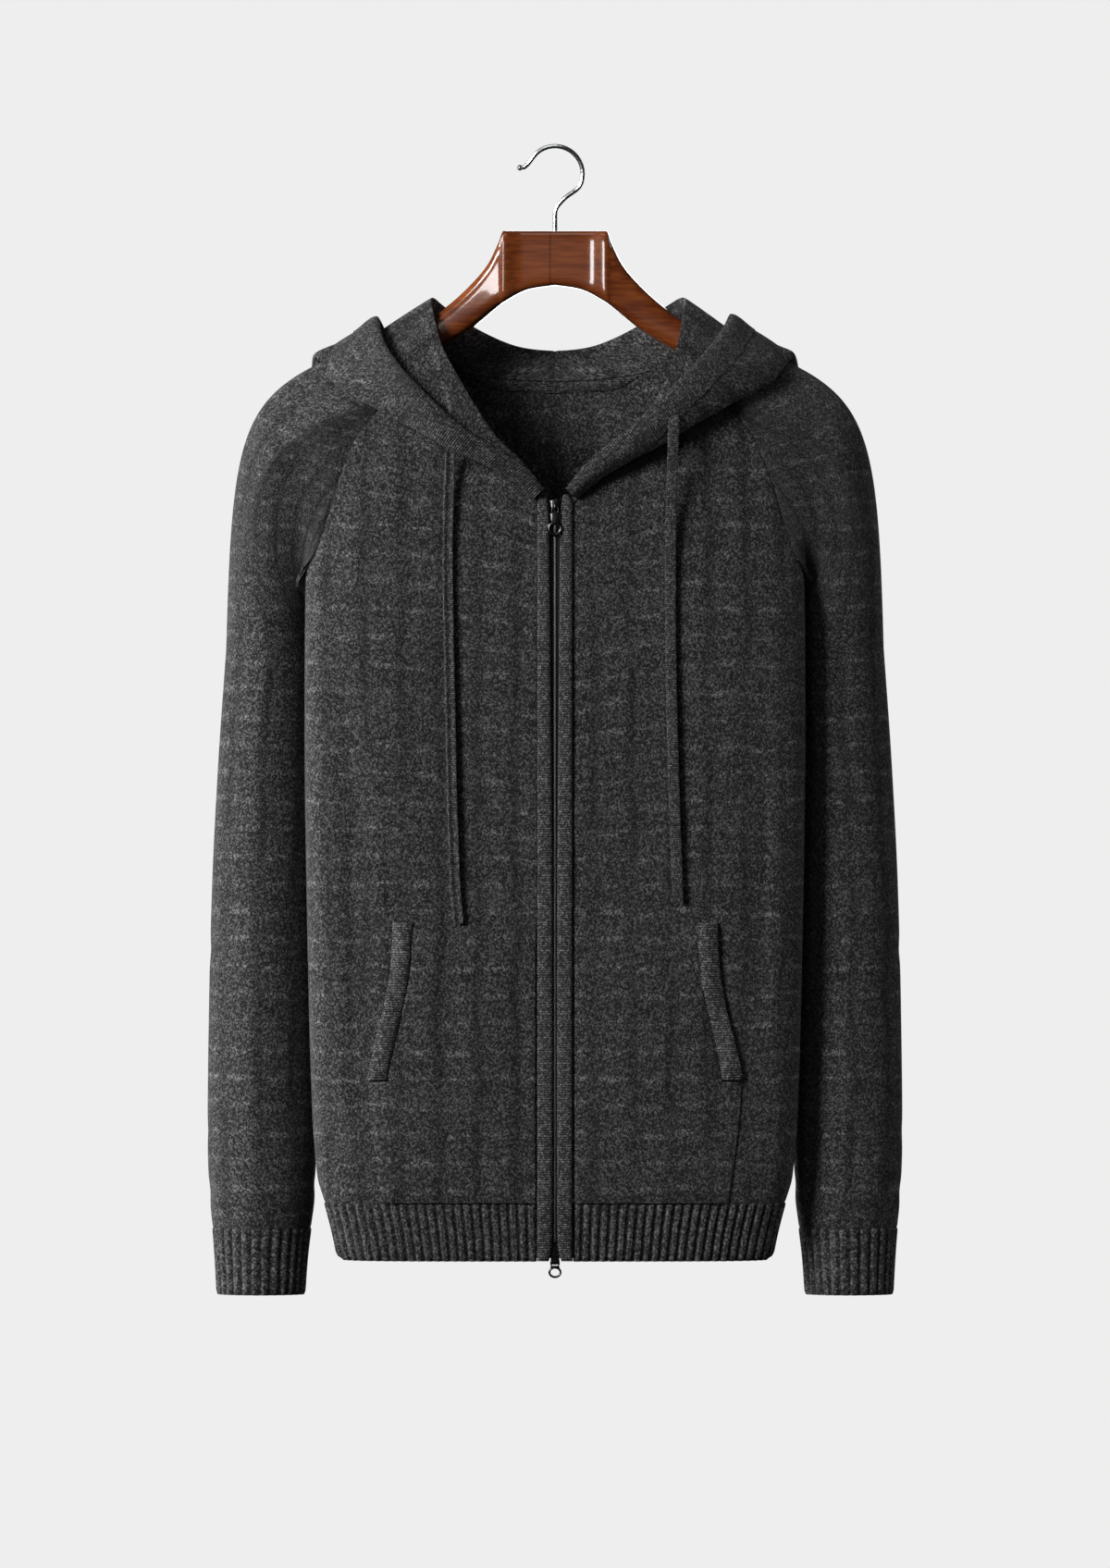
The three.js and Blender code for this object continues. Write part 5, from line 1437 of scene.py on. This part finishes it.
# Pockets
def pocket(side, word):
    low, high = np.linspace(HEM_TOP + 1, -760, 28), np.linspace(-755, POCKET_TOP, 36)
    z = np.concatenate([low, [-758.9, -757.9], high])
    narrow = read(POCKET_SIDE, "z", "x", z) - WELT_WIDTH - SEAM_GAP
    opening = z > POCKET_OPENING_LOW - 1.4
    u = np.linspace(0, 1, 40)
    plain = lerp(PANEL_EDGE + 1.2, (narrow - 0.8)[:, None], u[None])
    extra = np.where(opening, narrow, narrow + WELT_WIDTH)[:, None]
    steps = np.linspace(0, 1, 7)[1:]
    x = np.concatenate([plain, lerp(plain[:, -1:], extra, steps[None])], axis=1)
    share = np.concatenate([u, np.ones(len(steps))])
    v = (z - z[0]) / (z[-1] - z[0])
    puff = 2.4 * np.sin(math.pi * share)[None] * np.sin(math.pi * v)[:, None]
    edge = np.minimum(x - x[:, :1], x[:, -1:] - x)
    edge = np.minimum(edge, np.minimum(z - z[0] + 2.5, z[-1] - z)[:, None])
    drop = seam_drop(edge, 0.7, 2.0)
    side_soft = np.where(opening[:, None], 1.0, smooth(0, 16, x[:, -1:] - x))
    thin = CLOTH * (0.5 + 0.5 * smooth(0, 12, z - z[0])[:, None] * side_soft)
    outer = on_front(side * x, z[:, None], POCKET_LIFT + thin + puff + drop)
    inner = on_front(side * x, z[:, None], POCKET_LIFT + puff)
    flat = np.stack(np.broadcast_arrays(side * x, z[:, None]), axis=-1)
    made = wall(f"knit_pocket_{word}", outer, inner, flat, flip=side < 0)
    return dress(made, KNIT, nodes=(f"pocket_{word}",))


def pocket_welt(side, word):
    z = np.linspace(POCKET_OPENING_LOW + 0.4, POCKET_TOP + 3, 60)
    s = np.linspace(0, 1, 15)
    edge = read(POCKET_SIDE, "z", "x", z)[:, None]
    x = lerp(edge - WELT_WIDTH, edge, s[None])
    end = np.minimum(z - z[0], z[-1] - z)[:, None]
    crown = 2.0 * np.sin(math.pi * s)[None] ** 0.7 + seam_drop(end, 1.2, 2.0)
    lip = -0.9 * np.exp(-((s[None] / 0.15) ** 2))
    outer = on_front(side * x, z[:, None], POCKET_LIFT + 2.8 + crown + lip)
    inner = on_front(side * x, z[:, None], np.full_like(x, POCKET_LIFT))
    flat = np.stack(np.broadcast_arrays(side * x, z[:, None]), axis=-1)
    made = wall(f"welt_{word}", outer, inner, flat, flip=side < 0)
    return dress(made, EDGE, nodes=(f"pocket_welt_{word}",))


# The hanger
def hanger_wood():
    x = np.unique(np.concatenate([np.linspace(0, 42, 15), np.linspace(42, 60, 25), np.linspace(60, 216, 80)]))
    top, bottom = read(HANGER, "x", "top", x), read(HANGER, "x", "bottom", x)
    depth, power = read(HANGER, "x", "half_depth", x), read(HANGER, "x", "round", x)
    tip = smooth(207, 216, x)
    height = (top - bottom) / 2 * np.sqrt(np.maximum(0, 1 - 0.7 * tip**2))
    depth = depth * np.sqrt(np.maximum(0, 1 - 0.75 * tip**2))
    middle = (top + bottom) / 2
    turn = np.linspace(0, FULL, 65)[:-1]
    c, s = np.cos(turn)[None], np.sin(turn)[None]
    power = power[:, None]
    y = depth[:, None] * np.sign(c) * np.abs(c) ** (2 / power)
    ridge = 2.6 * np.where(x < 42, smooth(28, 42, x), np.exp(-np.maximum(0, x - 42) / 14))
    y = y + ridge[:, None] * np.minimum(0, y / depth[:, None])
    z = middle[:, None] + height[:, None] * np.sign(s) * np.abs(s) ** (2 / power)
    half = points_of(x[:, None], y, z)
    rings = np.concatenate([mirrored(half)[:0:-1], half])
    made = lofted("hanger_body", rings)
    return dress(made, WOOD, nodes=("hanger",))


def stage():
    """A pale floor that sweeps up into a plain backdrop."""
    profile = [(-14, -1.19), (12, -1.19)]
    for k in range(1, 13):
        turn = k / 12 * math.pi / 2
        profile.append((12 + 2.0 * math.sin(turn), 0.81 - 2.0 * math.cos(turn)))
    profile.append((14, 16))
    verts = [(x, y, z) for x in (-16, 16) for y, z in profile]
    n = len(profile)
    mesh = bpy.data.meshes.new("floor")
    mesh.from_pydata(verts, [], [(i, i + 1, n + i + 1, n + i) for i in range(n - 1)])
    mesh.shade_smooth()
    floor = bpy.data.objects.new("floor", mesh)
    bpy.context.scene.collection.objects.link(floor)
    s = Shader("pale_floor")
    s.finish((0.0, 0.0, 0.0, 1), None, Roughness=1.0, Specular_IOR_Level=0.0)
    s.put(s.surface.inputs["Emission Color"], (0.855, 0.855, 0.855, 1))
    s.put(s.surface.inputs["Emission Strength"], 1.0)
    floor.data.materials.append(s.material)
    for name in ("visible_diffuse", "visible_glossy", "visible_transmission", "visible_shadow"):
        setattr(floor, name, False)


def area_light(name, place, target, size, power):
    data = bpy.data.lights.new(name, "AREA")
    data.shape = "RECTANGLE"
    data.size, data.size_y = size
    data.energy = power
    light = bpy.data.objects.new(name, data)
    light.location = place
    direction = np.array(target, float) - np.array(place, float)
    flat = math.hypot(direction[0], direction[1])
    heading = math.atan2(direction[1], direction[0]) - math.pi / 2
    light.rotation_euler = (math.atan2(flat, -direction[2]), 0, heading)
    bpy.context.scene.collection.objects.link(light)
    return light


def lights():
    world = bpy.data.worlds.new("studio")
    world.use_nodes = True
    world.node_tree.nodes["Background"].inputs["Color"].default_value = (0.92, 0.96, 1.0, 1)
    world.node_tree.nodes["Background"].inputs["Strength"].default_value = 0.013
    bpy.context.scene.world = world
    bpy.context.scene.view_settings.view_transform = "Standard"
    area_light("main", (-6.2, -5.3, 2.9), (0, 0, -0.55), (3.4, 3.4), 700)
    area_light("top", (-0.9, -5.0, 5.2), (0, 0, -0.3), (3.0, 3.0), 30)
    area_light("side", (-5.9, 0.9, 0.3), (0, 0, -0.55), (1.2, 3.0), 330)
    area_light("right_edge", (5.8, 0.6, 0.3), (0, 0, -0.55), (1.2, 3.0), 60)
    area_light("behind", (1.5, 7.0, 0.8), (0, 0, -0.5), (3.5, 3.5), 140)
    # A card that only glossy surfaces reflect
    card = area_light("card", (-1.25, -4.85, 0.15), (0, 0, -0.1), (0.95, 1.1), 42)
    card.visible_diffuse = False


make_camera()
drawstring("cord_left", "drawstring_left", STRING_LEFT, 9, 2.4, 0.1, 4.0)
drawstring("cord_right", "drawstring_right", STRING_RIGHT, 8.6, 2.8, 1.35, 0.0)
back = panel("knit_back", "back", back_patch, 460, 660, False, 1)
binding = neck_binding()
hem_back = hem_rib("ribbed_hem_back", "hem_rib_back", SIDE_SEAM_ANGLE, FULL - SIDE_SEAM_ANGLE)
HEM_START = float(front_angle(PANEL_EDGE, (HEM_TOP + HEM_BOTTOM) / 2))
for side, word in ((1, "left"), (-1, "right")):
    front = panel(f"knit_front_{word}", f"front_{word}", front_patch, 230, 640, side < 0, side)
    hem = hem_rib(f"ribbed_hem_{word}", f"hem_rib_front_{word}", side * HEM_START, side * SIDE_SEAM_ANGLE)
    arm = sleeve(side, word)
    wrist = cuff(side, word)
    hood, surface = hood_piece(side, word)
    band = hood_band(side, word, surface)
    strip = placket(side, word)
    tape, teeth = zip_tape(side, word)
    bag = pocket(side, word)
    welt = pocket_welt(side, word)
hanger_wood()
zip_slider()
top_y = float(centre_front_y(SLIDER_TOP_Z)) - 4.3
bottom_y = float(centre_front_y(SLIDER_BOTTOM_Z)) + 0.4
zip_pull("pull_top", "zip_pull_top", "top_pull", top_y, SLIDER_TOP_Z, **PULL_TOP)
zip_pull("pull_bottom", "zip_pull_bottom", "bottom_pull", bottom_y, SLIDER_BOTTOM_Z, **PULL_BOTTOM)
for name, material in (("hanger_hook", CHROME), ("zip_slider_bottom", NICKEL)):
    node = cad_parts[name]
    for slot in node.material_slots:
        slot.material = material
stage()
lights()
